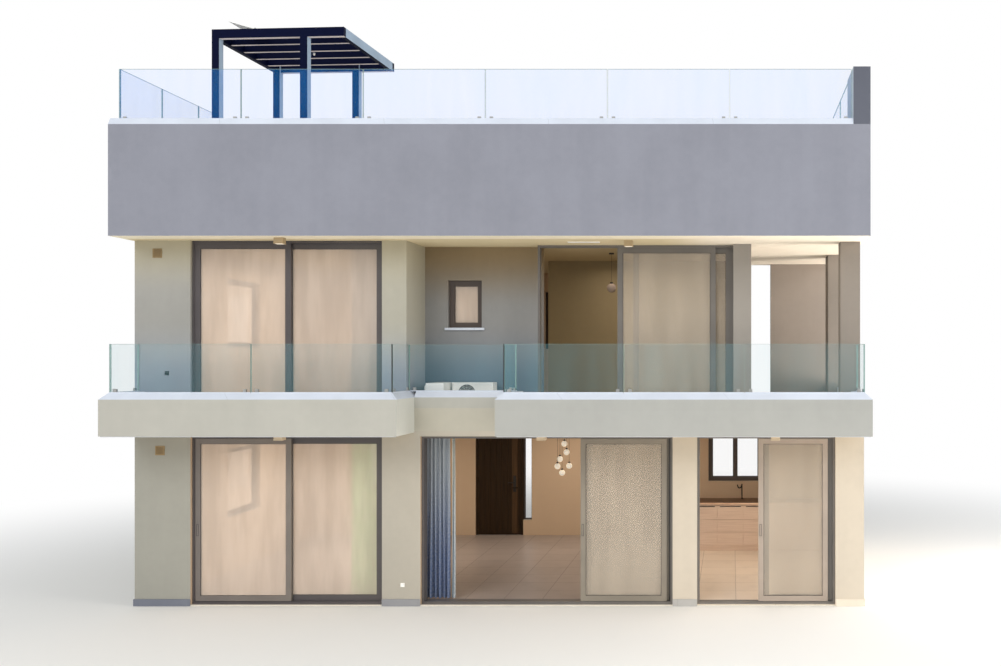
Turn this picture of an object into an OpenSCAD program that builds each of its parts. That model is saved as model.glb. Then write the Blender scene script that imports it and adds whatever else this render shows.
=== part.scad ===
// Two-storey beach house with front balconies, a covered side terrace and a roof terrace.
// Millimetres, +Z up, the front faces -Y, origin on the ground under the middle of the house.
// Depths along Y are given behind the front wall face; what stands in front of it is negative.

/* [Storeys] */
// Thickness of the ground floor slab above the ground
ground_slab_t = 20; // [15:1:100]
// Height of the ground floor door openings
ground_head_h = 2550; // [2300:10:2560]
// Height of the lintels over the ground floor openings
lintel_h = 80; // [60:5:200]
// Thickness of the upper floor slab
upper_slab_t = 350; // [250:10:450]
// Clear height of the upper storey
upper_h = 2540; // [2400:10:2700]
// Height of the grey fascia around the roof
fascia_h = 1630; // [1500:10:1800]
// Height of the roof terrace floor above the soffit
roof_deck_rise = 1460; // [1300:10:1480]
// Thickness of the ceiling slab and of the roof terrace slab
roof_slab_t = 200; // [150:10:260]

/* [Plan] */
// Depth of the main block
main_d = 6200; // [5900:10:7000]
// Depth of the kitchen wing
kitchen_d = 5150; // [4700:10:5500]
// Depth of the roof over the side terrace
terrace_d = 4050; // [3700:10:4400]
// Thickness of the outer walls
wall_t = 250; // [200:10:320]
// Outer face of the wall beside the kitchen wing, left of the kitchen opening
wing_offset = 261; // [150:1:340]
// Thickness of the inner wall behind the bedroom
inner_wall_t = 100; // [80:5:150]
// Depth of the bedroom's back wall
bedroom_back_d = 3250; // [2900:10:3600]
// Length of the bedroom's back wall
bedroom_back_w = 3400; // [3000:10:3800]
// Height and thickness of the skirting along the foot of the walls
skirting_h = 105; // [50:5:120]
skirting_t = 15; // [6:1:20]
// Gap between skirting boards at the corners
skirting_gap = 2; // [1:1:4]

/* [Front openings] */
// Width of the wall left of the left doors
left_pier_w = 845; // [700:5:1100]
// Width of the left doors, both storeys
left_door_w = 2901; // [2600:1:3200]
// Width of the wall between the left doors and the living room
middle_pier_w = 584; // [550:1:800]
// Width of the living room opening
living_w = 3820; // [3600:5:4200]
// Width of the wall between the living room and the kitchen
kitchen_pier_w = 371; // [350:1:500]
// Width of the kitchen opening
kitchen_w = 2095; // [1900:5:2300]
// Width of the wall right of the kitchen opening
right_pier_w = 434; // [350:1:600]
// Width of the recess between the left doors and the bedroom door
recess_w = 2235; // [2100:5:2500]
// Width of the bedroom door
bedroom_w = 3090; // [2900:5:3300]
// Depth of the bedroom wall face
bedroom_face_d = 470; // [420:5:520]
// Thickness of the wall beside the bedroom
bedroom_side_t = 280; // [250:5:320]
// Width of the wall right of the upper left doors
block_w = 370; // [300:5:420]
// Depth of the recess wall face
recess_d = 930; // [880:5:980]

/* [Sliding doors] */
// Sight width of the outer frames
frame_w = 35; // [30:1:60]
// Frame face behind the wall face
frame_setback = 50; // [30:5:70]
// Thickness of a leaf
leaf_t = 45; // [38:1:48]
// Distance between two tracks
track_pitch = 55; // [54:1:62]
// Frame edge in front of the first leaf
track_margin = 10; // [8:1:14]
// Sight width of a leaf's stiles and top rail, and height of its bottom rail
stile_w = 78; // [50:1:90]
bottom_rail_h = 80; // [55:1:110]
// Overlap of two closed leaves
leaf_overlap = 95; // [60:1:120]
// Clearance around a leaf
leaf_gap = 5; // [5:0.5:8]
// Running gap of the rollers on the sill
runner_gap = 0.3; // [0.2:0.1:0.5]
// Length and width of a roller housing
runner_l = 80; // [50:5:120]
runner_w = 20; // [12:1:30]
// How far each living room leaf stands out of the stack behind it
living_stagger = 27; // [10:1:40]
// How far the kitchen leaf stands out of the stack
kitchen_stagger = 70; // [30:1:90]
// How far the bedroom door's front leaf stands out of the stack
bedroom_stagger = 245; // [150:5:400]
// Thickness of the glazing units
pane_t = 24; // [16:1:32]
// Frame face of the bedroom door behind the bedroom wall face
bedroom_setback = 180; // [150:5:200]

/* [Entry door] */
// Left edge of the entry doorway, left of the left doors' right edge
entry_offset = 105; // [40:1:200]
// Width of the entry doorway
entry_w = 1006; // [940:1:1060]
// Height of the entry doorway
entry_h = 2230; // [2100:10:2350]
// Sight width of the entry door's frame
entry_frame_w = 50; // [40:1:60]
// Thickness of the entry door
entry_t = 70; // [50:1:80]
// Depth of the door's inner face behind the inner wall face
entry_inset = 40; // [30:5:80]
// Width of the slot window beside the entry door
slot_w = 182; // [160:1:240]
// Sight width of the slot window's frame
slot_frame_w = 23; // [15:1:35]
// Sill of the slot window above the floor
slot_sill_h = 320; // [200:10:400]
// Radius and length of a hinge knuckle
knuckle_r = 7; // [5:0.5:8]
knuckle_l = 60; // [40:5:80]
// Thickness and reach of a hinge plate
hinge_plate_t = 3; // [2:0.5:4]
hinge_plate_w = 30; // [20:1:40]
// Length and radius of the lever
lever_l = 130; // [100:5:150]
lever_r = 10; // [7:1:13]
// Distance of the lever's axis from the door
lever_out = 45; // [35:1:60]
// Height of the lever above the floor
lever_h = 1000; // [900:10:1100]
// Lever's turning axis from the door's free edge
lever_in = 70; // [60:5:100]
// Width, height and thickness of the lock plate
lock_plate_w = 50; // [30:1:60]
lock_plate_h = 300; // [240:10:340]
lock_plate_t = 8; // [4:1:12]
// Lock plate's lower end below the lever
lock_plate_low = 200; // [150:10:220]

/* [Small windows] */
// Left edge of the small recess window right of the left doors, its width, sill and height
bath_offset = 735; // [680:5:800]
bath_w = 545; // [480:5:620]
bath_sill_h = 1240; // [1150:10:1350]
bath_h = 765; // [650:5:900]
// Left edge of the kitchen's rear window in its wall, its width, sill and height
sink_window_offset = 320; // [260:5:400]
sink_window_w = 1075; // [950:5:1200]
sink_window_sill_h = 1270; // [1150:10:1300]
sink_window_h = 1010; // [850:10:1100]
// Width, height and sill of the plain side and rear windows
plain_window_w = 1200; // [900:10:1400]
plain_window_h = 1200; // [900:10:1300]
plain_sill_h = 950; // [850:10:1100]
// Depth at which the side windows start
side_window_d = 2300; // [2000:10:2800]
// Left rear windows from the left wall's outer face
rear_window_left_in = 1310; // [1000:10:1500]
// Middle rear window from the left doors' right edge
rear_window_mid_in = 1370; // [1200:10:1700]
// Right rear window's left edge from the bedroom side wall
rear_window_right_in = 1560; // [1450:10:1800]
// Depth and sight width of a window's frame
window_frame_d = 80; // [60:5:120]
window_frame_w = 85; // [50:1:100]

/* [Balconies] */
// Reach of the balconies in front of the wall face
balcony_out = 800; // [700:10:1000]
// Underside of the balcony boxes below the upper floor
balcony_drop = 370; // [350:5:420]
// How far the left balcony box runs past the left doors
left_box_past = 490; // [460:1:520]
// How far the right balcony box runs past the bedroom door
right_box_past = 336; // [320:1:450]
// How far the boxes and the roof stand out past the left and the right side wall
left_lip = 50; // [20:5:60]
right_lip = 20; // [10:5:60]
// Height and thickness of the upstands on the balcony edges
upstand_h = 160; // [120:5:220]
upstand_t = 200; // [180:5:240]
// Height of the white copings
coping_h = 90; // [60:5:120]
// How far the balcony coping slopes back
coping_slope = 90; // [60:5:95]
// Height of the balcony glass above its coping
balcony_glass_h = 710; // [600:10:900]
// Thickness of the guard glass
guard_t = 16; // [12:1:22]
// Glass face behind the outer face of an upstand
guard_inset = 100; // [95:5:120]
// Gap between guard panels
guard_gap = 8; // [6:1:15]

/* [Terrace] */
// Open gap between the bedroom side wall and the terrace's back wall
terrace_gap = 435; // [350:5:600]
// Thickness of the terrace's back wall
terrace_wall_t = 200; // [180:5:250]
// Width of a pillar
pillar_w = 300; // [260:5:340]
// Outer face of the pillars inside the side wall face
pillar_inset = 40; // [20:5:60]
// Depth at which the front pillar starts, and its length
pillar_a_d = 150; // [100:5:200]
pillar_a_l = 300; // [250:5:350]
// Depth at which the rear pillar starts, and its length
pillar_b_d = 2100; // [2000:5:2200]
pillar_b_l = 500; // [300:5:600]

/* [Roof] */
// Reach of the roof in front of the wall face
roof_out = 570; // [500:5:640]
// Thickness of the fascia
fascia_t = 250; // [200:5:300]
// How far the roof coping slopes back
roof_coping_slope = 20; // [10:5:60]
// Height of the roof glass above its coping
roof_glass_h = 760; // [650:10:900]
// Glass face behind the front of the fascia
roof_guard_front_inset = 165; // [100:5:200]
// Glass face inside the other faces of the fascia, and inside its right face
roof_guard_side_inset = 60; // [40:5:120]
roof_guard_right_inset = 214; // [100:1:220]
// Depth and height of the solid fin at the front right corner
fin_l = 750; // [600:10:900]
fin_h = 840; // [700:10:900]

/* [Pergola] */
// Gap between the left fascia and the pergola's left front corner
pergola_gap = 250; // [200:10:400]
// Depth of the pergola's left front corner
pergola_d = 1380; // [1250:10:1500]
// Turn of the pergola against the house, in degrees
pergola_turn = 3.5; // [2:0.5:6]
// Length and depth of the pergola's top
pergola_w = 2240; // [2000:10:2400]
pergola_l = 2080; // [1900:10:2300]
// Side of a square column
column_w = 125; // [100:5:160]
// Left faces of the two columns in a row
column_pitch = 1500; // [1400:10:1600]
// Height under the beams
pergola_h = 2040; // [1900:10:2150]
// Height and width of the beams
beam_h = 150; // [120:5:200]
beam_w = 80; // [60:5:100]
// Number, height and width of the slats between the front and rear beams
slat_n = 4; // [3:1:6]
slat_h = 130; // [80:5:150]
slat_w = 55; // [40:5:70]
// Length, width, thickness and tilt of the panel on top
panel_l = 460; // [400:10:700]
panel_w = 400; // [300:10:600]
panel_t = 30; // [20:2:50]
panel_tilt = 17; // [6:1:20]
// Left edge and front edge of the panel on the pergola
panel_x = 250; // [200:10:400]
panel_y = 20; // [10:10:40]

/* [Fittings] */
// Width, depth and height of an outdoor air conditioner
cooler_w = 640; // [600:10:800]
cooler_l = 290; // [250:5:320]
cooler_h = 330; // [320:5:600]
// Height of the feet under it
cooler_foot_h = 40; // [30:5:80]
// Gap between the block's wall and the turned air conditioner
cooler_in = 200; // [100:5:250]
// Gap between the two air conditioners
cooler_between = 40; // [30:5:160]
// Gap between an air conditioner and the wall behind it
cooler_gap = 60; // [40:5:100]
// Depth and height of the kitchen counter
counter_l = 630; // [560:10:680]
counter_h = 900; // [820:5:920]
// Width, height and length of a box lamp
lamp_w = 127; // [100:1:160]
lamp_h = 85; // [60:5:120]
lamp_l = 125; // [80:5:150]
// Front of the lamps in front of the wall face, and of the bedroom's lamp
lamp_out = 390; // [300:10:500]
bedroom_lamp_out = 40; // [0:10:200]
// How far the left lamps hang right of the middle of their doors
left_lamp_shift = 50; // [-100:5:100]
// How far the living room lamp, the kitchen lamp and the bedroom lamp hang right of mid-door
living_lamp_shift = -12; // [-100:1:100]
kitchen_lamp_shift = 125; // [-100:5:200]
bedroom_lamp_shift = -45; // [-100:5:100]
// Thickness of a gathered curtain
curtain_t = 120; // [80:5:150]
// Width of the heavy and of the thin gathered curtains
drape_w = 520; // [300:10:560]
sheer_w = 620; // [400:10:800]
// How far the heavy curtain hangs behind the wall left of the living room opening
drape_past = 80; // [20:5:100]
// Gap between a curtain and what carries or faces it
curtain_gap = 0.3; // [0.3:0.1:1]
// Clear height of a curtain over the floor
curtain_rise = 20; // [10:5:40]
// Distance of the curtains behind the inner wall face
curtain_in = 60; // [40:5:120]

/* [Hidden] */

cut = 1;
front_y = balcony_out - (balcony_out + main_d) / 2;
house_w = left_pier_w + left_door_w + middle_pier_w + living_w + kitchen_pier_w + kitchen_w
    + right_pier_w;
lip_x = (left_lip + house_w + right_lip) / 2;
left_x = -lip_x + left_lip;
right_x = lip_x - right_lip;

floor_z = ground_slab_t;
head_z = floor_z + ground_head_h;
ceiling_z = head_z + lintel_h;
upper_z = ceiling_z + upper_slab_t;
balcony_z = upper_z - balcony_drop;
upstand_z = upper_z + upstand_h;
coping_z = upstand_z + coping_h;
soffit_z = upper_z + upper_h;
fascia_z = soffit_z + fascia_h;
roof_coping_z = fascia_z + coping_h;
deck_z = soffit_z + roof_deck_rise;

left_door_x = left_x + left_pier_w;
left_door_end = left_door_x + left_door_w;
living_x = left_door_end + middle_pier_w;
living_end = living_x + living_w;
kitchen_x = living_end + kitchen_pier_w;
kitchen_end = kitchen_x + kitchen_w;
bedroom_x = left_door_end + recess_w;
bedroom_end = bedroom_x + bedroom_w;
bedroom_side_x = bedroom_end + bedroom_side_t;
block_x = left_door_end + block_w;
wing_x = kitchen_x - wing_offset;
wing_in_x = wing_x - wall_t;
entry_x = left_door_end - entry_offset;
entry_end = entry_x + entry_w;
slot_end = entry_end + slot_w;
entry_head_z = floor_z + entry_h;
bath_x = left_door_end + bath_offset;
sink_window_x = wing_x + sink_window_offset;
rear_window_left_x = left_x + rear_window_left_in;
rear_window_mid_x = left_door_end + rear_window_mid_in;
rear_window_right_x = bedroom_end - rear_window_right_in;
left_box_x = left_door_end + left_box_past;
right_box_x = bedroom_x - right_box_past;

main_in_d = main_d - wall_t;
kitchen_in_d = kitchen_d - wall_t;
pillar_x = right_x - pillar_inset - pillar_w;
terrace_wall_x = bedroom_side_x + terrace_gap;
terrace_wall_d = terrace_d - terrace_wall_t;
pergola_x = -lip_x + fascia_t + pergola_gap;

curtain_colour = [0.42, 0.47, 0.54];
wall_colour = [0.80, 0.76, 0.67];
shade_colour = [0.52, 0.49, 0.47];
fascia_colour = [0.60, 0.61, 0.63];
frame_colour = [0.42, 0.39, 0.38];
glass_colour = [0.72, 0.84, 0.83, 0.5];
white_colour = [0.90, 0.91, 0.93];
navy_colour = [0.08, 0.11, 0.24];
floor_colour = [0.78, 0.73, 0.65];

// A box between two X, two depths and two heights
module block(x0, x1, d0, d1, z0, z1) {
    translate([x0, front_y + d0, z0])
        cube([x1 - x0, d1 - d0, z1 - z0]);
}

// A box with a window or door cut through it along Y
module holed_block(x0, x1, d0, d1, z0, z1, hole) {
    difference() {
        block(x0, x1, d0, d1, z0, z1);
        block(hole[0], hole[0] + hole[1], d0 - cut, d1 + cut, hole[2], hole[2] + hole[3]);
    }
}

// A rectangular frame in the plane of the front, with its outer size and sight width
module frame_ring(x0, x1, d0, d1, z0, z1, w) {
    difference() {
        block(x0, x1, d0, d1, z0, z1);
        block(x0 + w, x1 - w, d0 - cut, d1 + cut, z0 + w, z1 - w);
    }
}

// A rectangular frame in a side wall's plane
module side_frame_ring(x0, x1, d0, d1, z0, z1, w) {
    difference() {
        block(x0, x1, d0, d1, z0, z1);
        block(x0 - cut, x1 + cut, d0 + w, d1 - w, z0 + w, z1 - w);
    }
}

function frame_depth(n) = n * track_pitch + track_margin;
function track_d(face_d, i) = face_d + track_margin + i * track_pitch;
function clear_w(open_w) = open_w - 2 * frame_w;
function leaf_w(open_w, n) = (clear_w(open_w) - 2 * leaf_gap + (n - 1) * leaf_overlap) / n;
function leaf_left_x(open_x) = open_x + frame_w + leaf_gap;
function leaf_right_x(open_x, open_w, n) = open_x + open_w - frame_w - leaf_gap - leaf_w(open_w, n);

// Left edges of the bedroom door's two leaves, the front one standing out of the stack
function bedroom_leaf_x(i) = leaf_right_x(bedroom_x, bedroom_w, 2) + leaf_gap
    - (1 - i) * bedroom_stagger;

// A leaf's stiles, top rail and higher bottom rail
module sash(x0, x1, d, z0, z1, side_w, bottom_h) {
    difference() {
        block(x0, x1, d, d + leaf_t, z0, z1);
        block(x0 + side_w, x1 - side_w, d - cut, d + leaf_t + cut, z0 + bottom_h, z1 - side_w);
    }
}

// One leaf's stiles and rails, with its roller housings on the sill where it moves
module leaf_ring(x, w, d, z0, z1, rolls) {
    low = z0 + frame_w + leaf_gap;
    sash(x, x + w, d, low, z1 - frame_w - leaf_gap, stile_w, bottom_rail_h);
    if (rolls)
        for (rx = [x + stile_w, x + w - stile_w - runner_l])
            block(rx, rx + runner_l, d + (leaf_t - runner_w) / 2, d + (leaf_t + runner_w) / 2,
                low - leaf_gap + runner_gap, low + cut);
}

// One leaf that stays shut, seated in the outer frame
module still_leaf_ring(x, w, d, z0, z1) {
    sash(x, x + w, d, z0 + frame_w, z1 - frame_w, stile_w + leaf_gap, bottom_rail_h + leaf_gap);
}

// The glass of a leaf, between its stiles and rails
module leaf_pane(x, w, d, z0, z1) {
    block(x + stile_w, x + w - stile_w, d + (leaf_t - pane_t) / 2, d + (leaf_t + pane_t) / 2,
        z0 + frame_w + leaf_gap + bottom_rail_h, z1 - frame_w - leaf_gap - stile_w);
}

// The glass of a leaf that stays shut
module still_leaf_pane(x, w, d, z0, z1) {
    edge = stile_w + leaf_gap;
    block(x + edge, x + w - edge, d + (leaf_t - pane_t) / 2, d + (leaf_t + pane_t) / 2,
        z0 + frame_w + leaf_gap + bottom_rail_h, z1 - frame_w - edge);
}

// The glass of a small window whose frame has two panes or one
module window_panes(x0, w, d, z0, h, n) {
    pane_w = (w - (n + 1) * window_frame_w) / n;
    for (i = [0 : n - 1])
        block(x0 + window_frame_w + i * (pane_w + window_frame_w), x0 + (i + 1) * (pane_w + window_frame_w),
            d + (window_frame_d - pane_t) / 2, d + (window_frame_d + pane_t) / 2,
            z0 + window_frame_w, z0 + h - window_frame_w);
}

// The frame of a small window with one or two panes
module window_frame(x0, w, d, z0, h, n) {
    pane_w = (w - (n + 1) * window_frame_w) / n;
    difference() {
        block(x0, x0 + w, d, d + window_frame_d, z0, z0 + h);
        for (i = [0 : n - 1])
            block(x0 + window_frame_w + i * (pane_w + window_frame_w), x0 + (i + 1) * (pane_w + window_frame_w),
                d - cut, d + window_frame_d + cut, z0 + window_frame_w, z0 + h - window_frame_w);
    }
}

// The frame and the glass of a plain window in a side wall
module side_window_frame(x0, z0) {
    side_frame_ring(x0, x0 + window_frame_d, side_window_d, side_window_d + plain_window_w,
        z0, z0 + plain_window_h, window_frame_w);
}

module side_window_pane(x0, z0) {
    block(x0 + (window_frame_d - pane_t) / 2, x0 + (window_frame_d + pane_t) / 2,
        side_window_d + window_frame_w, side_window_d + plain_window_w - window_frame_w,
        z0 + window_frame_w, z0 + plain_window_h - window_frame_w);
}

// A side wall with its plain window cut through
module side_wall(x0, x1, d0, d1, z0, z1) {
    difference() {
        block(x0, x1, d0, d1, z0, z1);
        block(x0 - cut, x1 + cut, side_window_d, side_window_d + plain_window_w,
            z0 + plain_sill_h, z0 + plain_sill_h + plain_window_h);
    }
}

// An L-shaped plate: the front part over the whole width, the rear part up to notch_x
module l_plate(x0, x1, d0, front_d, notch_x, rear_d, z0, z1) {
    block(x0, x1, d0, front_d, z0, z1);
    block(x0, notch_x, front_d, rear_d, z0, z1);
}

module ground_slab() {
    color(floor_colour)
        l_plate(left_x, right_x, 0, kitchen_d, wing_x, main_d, 0, floor_z);
}

module upper_floor_slab() {
    color(wall_colour)
        l_plate(left_x, right_x, 0, kitchen_d, bedroom_side_x, main_d, ceiling_z, upper_z);
}

module balcony_slabs() {
    color(wall_colour) {
        block(-lip_x, left_box_x, -balcony_out, 0, balcony_z, upper_z);
        block(right_box_x, lip_x, -balcony_out, 0, balcony_z, upper_z);
    }
}

module roof_slabs() {
    color(wall_colour)
        for (top = [soffit_z + roof_slab_t, deck_z])
            l_plate(-lip_x + fascia_t, lip_x - fascia_t, -roof_out + fascia_t, terrace_d - fascia_t,
                bedroom_side_x - fascia_t, main_d - fascia_t, top - roof_slab_t, top);
}

module wall_skirting() {
    left_out_x = left_x - skirting_t;
    right_out_x = right_x + skirting_t;
    color(white_colour) {
        block(left_out_x, left_door_x, -skirting_t, 0, 0, skirting_h);
        block(left_door_end, living_x, -skirting_t, 0, 0, skirting_h);
        block(living_end, kitchen_x, -skirting_t, 0, 0, skirting_h);
        block(kitchen_end, right_out_x, -skirting_t, 0, 0, skirting_h);
        block(left_out_x, left_x, skirting_gap, main_d, 0, skirting_h);
        block(right_x, right_out_x, skirting_gap, kitchen_d, 0, skirting_h);
    }
}

module ground_front_piers() {
    color(wall_colour) {
        block(left_x, left_door_x, 0, wall_t, floor_z, head_z);
        block(left_door_end, living_x, 0, wall_t, floor_z, head_z);
        block(living_end, kitchen_x, 0, wall_t, floor_z, head_z);
        block(kitchen_end, right_x, 0, wall_t, floor_z, head_z);
    }
}

module ground_lintels() {
    color(wall_colour) {
        block(left_x, right_x, 0, wall_t, head_z, ceiling_z);
        block(entry_x, slot_end, main_in_d, main_d, entry_head_z, ceiling_z);
        block(entry_end, slot_end, main_in_d, main_d, floor_z, floor_z + slot_sill_h);
    }
}

module ground_side_walls() {
    color(wall_colour) {
        side_wall(left_x, left_x + wall_t, wall_t, main_in_d, floor_z, ceiling_z);
        side_wall(right_x - wall_t, right_x, wall_t, kitchen_in_d, floor_z, ceiling_z);
        block(wing_in_x, wing_x, kitchen_d, main_in_d, floor_z, ceiling_z);
    }
}

module ground_rear_walls() {
    color(wall_colour) {
        holed_block(left_x, entry_x, main_in_d, main_d, floor_z, ceiling_z,
            [rear_window_left_x, plain_window_w, floor_z + plain_sill_h, plain_window_h]);
        block(slot_end, wing_x, main_in_d, main_d, floor_z, ceiling_z);
        holed_block(wing_in_x, right_x, kitchen_in_d, kitchen_d, floor_z, ceiling_z,
            [sink_window_x, sink_window_w, floor_z + sink_window_sill_h, sink_window_h]);
    }
}

module upper_block_walls() {
    color(wall_colour) {
        block(left_x, left_door_x, 0, wall_t, upper_z, soffit_z);
        block(left_door_end, block_x, 0, recess_d, upper_z, soffit_z);
    }
}

module upper_left_wall() {
    color(wall_colour)
        side_wall(left_x, left_x + wall_t, wall_t, main_in_d, upper_z, soffit_z);
}

module upper_rear_wall() {
    color(wall_colour)
        difference() {
            block(left_x, bedroom_end, main_in_d, main_d, upper_z, soffit_z);
            for (x = [rear_window_left_x, rear_window_mid_x, rear_window_right_x])
                block(x, x + plain_window_w, main_in_d - cut, main_d + cut,
                    upper_z + plain_sill_h, upper_z + plain_sill_h + plain_window_h);
        }
}

module recess_wall() {
    color(shade_colour)
        holed_block(left_door_end, bedroom_x, recess_d, recess_d + wall_t, upper_z, soffit_z,
            [bath_x, bath_w, upper_z + bath_sill_h, bath_h]);
}

module bedroom_side_wall() {
    color(shade_colour)
        block(bedroom_end, bedroom_side_x, bedroom_face_d, main_d, upper_z, soffit_z);
}

module bedroom_back_wall() {
    color(shade_colour)
        block(bedroom_end - bedroom_back_w, bedroom_end, bedroom_back_d,
            bedroom_back_d + inner_wall_t, upper_z, soffit_z);
}

module terrace_back_wall() {
    color(shade_colour)
        block(terrace_wall_x, right_x, terrace_wall_d, terrace_d, upper_z, soffit_z);
}

module terrace_pillars() {
    color(shade_colour)
        pillar_space(upper_z, soffit_z);
}

// The room that the two terrace pillars take
module pillar_space(z0, z1) {
    block(pillar_x, pillar_x + pillar_w, pillar_a_d, pillar_a_d + pillar_a_l, z0, z1);
    block(pillar_x, pillar_x + pillar_w, pillar_b_d, pillar_b_d + pillar_b_l, z0, z1);
}

module balcony_front_upstands() {
    color(wall_colour) {
        block(-lip_x, left_box_x, -balcony_out, upstand_t - balcony_out, upper_z, upstand_z);
        block(right_box_x, lip_x, -balcony_out, upstand_t - balcony_out, upper_z, upstand_z);
        block(block_x, right_box_x + upstand_t, 0, upstand_t, upper_z, upstand_z);
    }
}

module balcony_end_upstands() {
    color(wall_colour)
        difference() {
            union() {
                for (x = [-lip_x, left_box_x - upstand_t, right_box_x])
                    block(x, x + upstand_t, upstand_t - balcony_out, 0, upper_z, upstand_z);
                block(lip_x - upstand_t, lip_x, upstand_t - balcony_out, 0, upper_z, upstand_z);
                block(lip_x - upstand_t, right_x, 0, terrace_wall_d, upper_z, upstand_z);
            }
            pillar_space(upper_z - cut, upstand_z + cut);
        }
}

// A coping along X whose front slopes back, cut to a hip at the ends that are given
module coping_box(x0, x1, d0, d1, z0, z1, slope, left, right) {
    lean = slope;
    intersection() {
        translate([x0, 0, 0])
            rotate([90, 0, 90])
                linear_extrude(x1 - x0)
                    polygon([[front_y + d0, z0], [front_y + d1, z0],
                        [front_y + d1, z1], [front_y + d0 + lean, z1]]);
        translate([0, front_y + d1, 0])
            rotate([90, 0, 0])
                linear_extrude(d1 - d0)
                    polygon([[x0, z0], [x1, z0],
                        [x1 - (right ? lean : 0), z1], [x0 + (left ? lean : 0), z1]]);
    }
}

// A coping along Y whose left or right side slopes back
module side_coping(x0, x1, d0, d1, z0, z1, slope_left, slope_right) {
    translate([0, front_y + d1, 0])
        rotate([90, 0, 0])
            linear_extrude(d1 - d0)
                polygon([[x0, z0], [x1, z0], [x1 - slope_right, z1], [x0 + slope_left, z1]]);
}

module balcony_coping() {
    back = upstand_t - balcony_out;
    color(white_colour)
        difference() {
            union() {
                difference() {
                    union() {
                        coping_box(-lip_x, left_box_x, -balcony_out, 0,
                            upstand_z, coping_z, coping_slope, true, true);
                        coping_box(right_box_x, lip_x, -balcony_out, 0,
                            upstand_z, coping_z, coping_slope, true, true);
                    }
                    block(-lip_x + upstand_t, left_box_x - upstand_t, back, cut,
                        upstand_z - cut, coping_z + cut);
                    block(right_box_x + upstand_t, lip_x - upstand_t, back, cut,
                        upstand_z - cut, coping_z + cut);
                }
                side_coping(block_x, left_box_x, 0, upstand_t, upstand_z, coping_z, 0, coping_slope);
                side_coping(right_box_x, right_box_x + upstand_t, 0, upstand_t,
                    upstand_z, coping_z, coping_slope, 0);
                coping_box(left_box_x - cut, right_box_x + cut, 0, upstand_t,
                    upstand_z, coping_z, coping_slope, false, false);
                side_coping(lip_x - upstand_t, right_x, 0, terrace_wall_d,
                    upstand_z, coping_z, 0, coping_slope - right_lip);
            }
            pillar_space(upstand_z - cut, coping_z + cut);
        }
}

// A row of guard panels along X, or along Y
module guard_row(x0, x1, d, z0, h, n) {
    w = (x1 - x0 - (n - 1) * guard_gap) / n;
    for (i = [0 : n - 1])
        block(x0 + i * (w + guard_gap), x0 + i * (w + guard_gap) + w, d, d + guard_t, z0, z0 + h);
}

module side_guard_row(x, d0, d1, z0, h, n) {
    l = (d1 - d0 - (n - 1) * guard_gap) / n;
    for (i = [0 : n - 1])
        block(x, x + guard_t, d0 + i * (l + guard_gap), d0 + i * (l + guard_gap) + l, z0, z0 + h);
}

module balcony_glass() {
    d = guard_inset - balcony_out;
    side_d = d + guard_t + guard_gap;
    x_left = -lip_x + guard_inset;
    x_left_end = block_x + guard_gap + guard_t;
    x_right = right_box_x + guard_inset;
    x_right_end = lip_x - guard_inset;
    mid_d = guard_inset;
    color(glass_colour) {
        guard_row(x_left, x_left_end, d, coping_z, balcony_glass_h, 2);
        guard_row(x_right, x_right_end, d, coping_z, balcony_glass_h, 3);
        side_guard_row(x_left, side_d, -guard_gap, coping_z, balcony_glass_h, 1);
        side_guard_row(x_left_end - guard_t, side_d, mid_d - guard_gap, coping_z, balcony_glass_h, 1);
        side_guard_row(x_right, side_d, mid_d - guard_gap, coping_z, balcony_glass_h, 1);
        guard_row(x_left_end - guard_t, x_right + guard_t, mid_d, coping_z, balcony_glass_h, 1);
        side_guard_row(x_right_end - guard_t, side_d, pillar_a_d - guard_gap,
            coping_z, balcony_glass_h, 1);
        side_guard_row(x_right_end - guard_t, pillar_a_d + pillar_a_l + guard_gap,
            pillar_b_d - guard_gap, coping_z, balcony_glass_h, 1);
        side_guard_row(x_right_end - guard_t, pillar_b_d + pillar_b_l + guard_gap,
            terrace_wall_d - guard_gap, coping_z, balcony_glass_h, 1);
    }
}

module roof_fascia_front_rear() {
    color(fascia_colour) {
        block(-lip_x, lip_x, -roof_out, fascia_t - roof_out, soffit_z, fascia_z);
        block(-lip_x + fascia_t, bedroom_side_x, main_d - fascia_t, main_d, soffit_z, fascia_z);
        block(bedroom_side_x - fascia_t, lip_x - fascia_t, terrace_d - fascia_t, terrace_d,
            soffit_z, fascia_z);
    }
}

module roof_fascia_sides() {
    start = fascia_t - roof_out;
    color(fascia_colour) {
        block(-lip_x, -lip_x + fascia_t, start, main_d, soffit_z, fascia_z);
        block(lip_x - fascia_t, lip_x, start, terrace_d, soffit_z, fascia_z);
        block(bedroom_side_x - fascia_t, bedroom_side_x, terrace_d, main_d - fascia_t,
            soffit_z, fascia_z);
    }
}

// What a slope takes off a coping along X, or along Y on the side that is given
module front_slope(x0, x1, d, z0, z1, slope) {
    translate([x0 - cut, 0, 0])
        rotate([90, 0, 90])
            linear_extrude(x1 - x0 + 2 * cut)
                polygon([[front_y + d, z0], [front_y + d + slope, z1],
                    [front_y + d + slope, z1 + cut], [front_y + d - cut, z1 + cut],
                    [front_y + d - cut, z0]]);
}

module side_slope(x, d0, d1, z0, z1, slope, side) {
    translate([0, front_y + d1 + cut, 0])
        rotate([90, 0, 0])
            linear_extrude(d1 - d0 + 2 * cut)
                polygon([[x, z0], [x - side * slope, z1], [x - side * slope, z1 + cut],
                    [x + side * cut, z1 + cut], [x + side * cut, z0]]);
}

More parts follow.
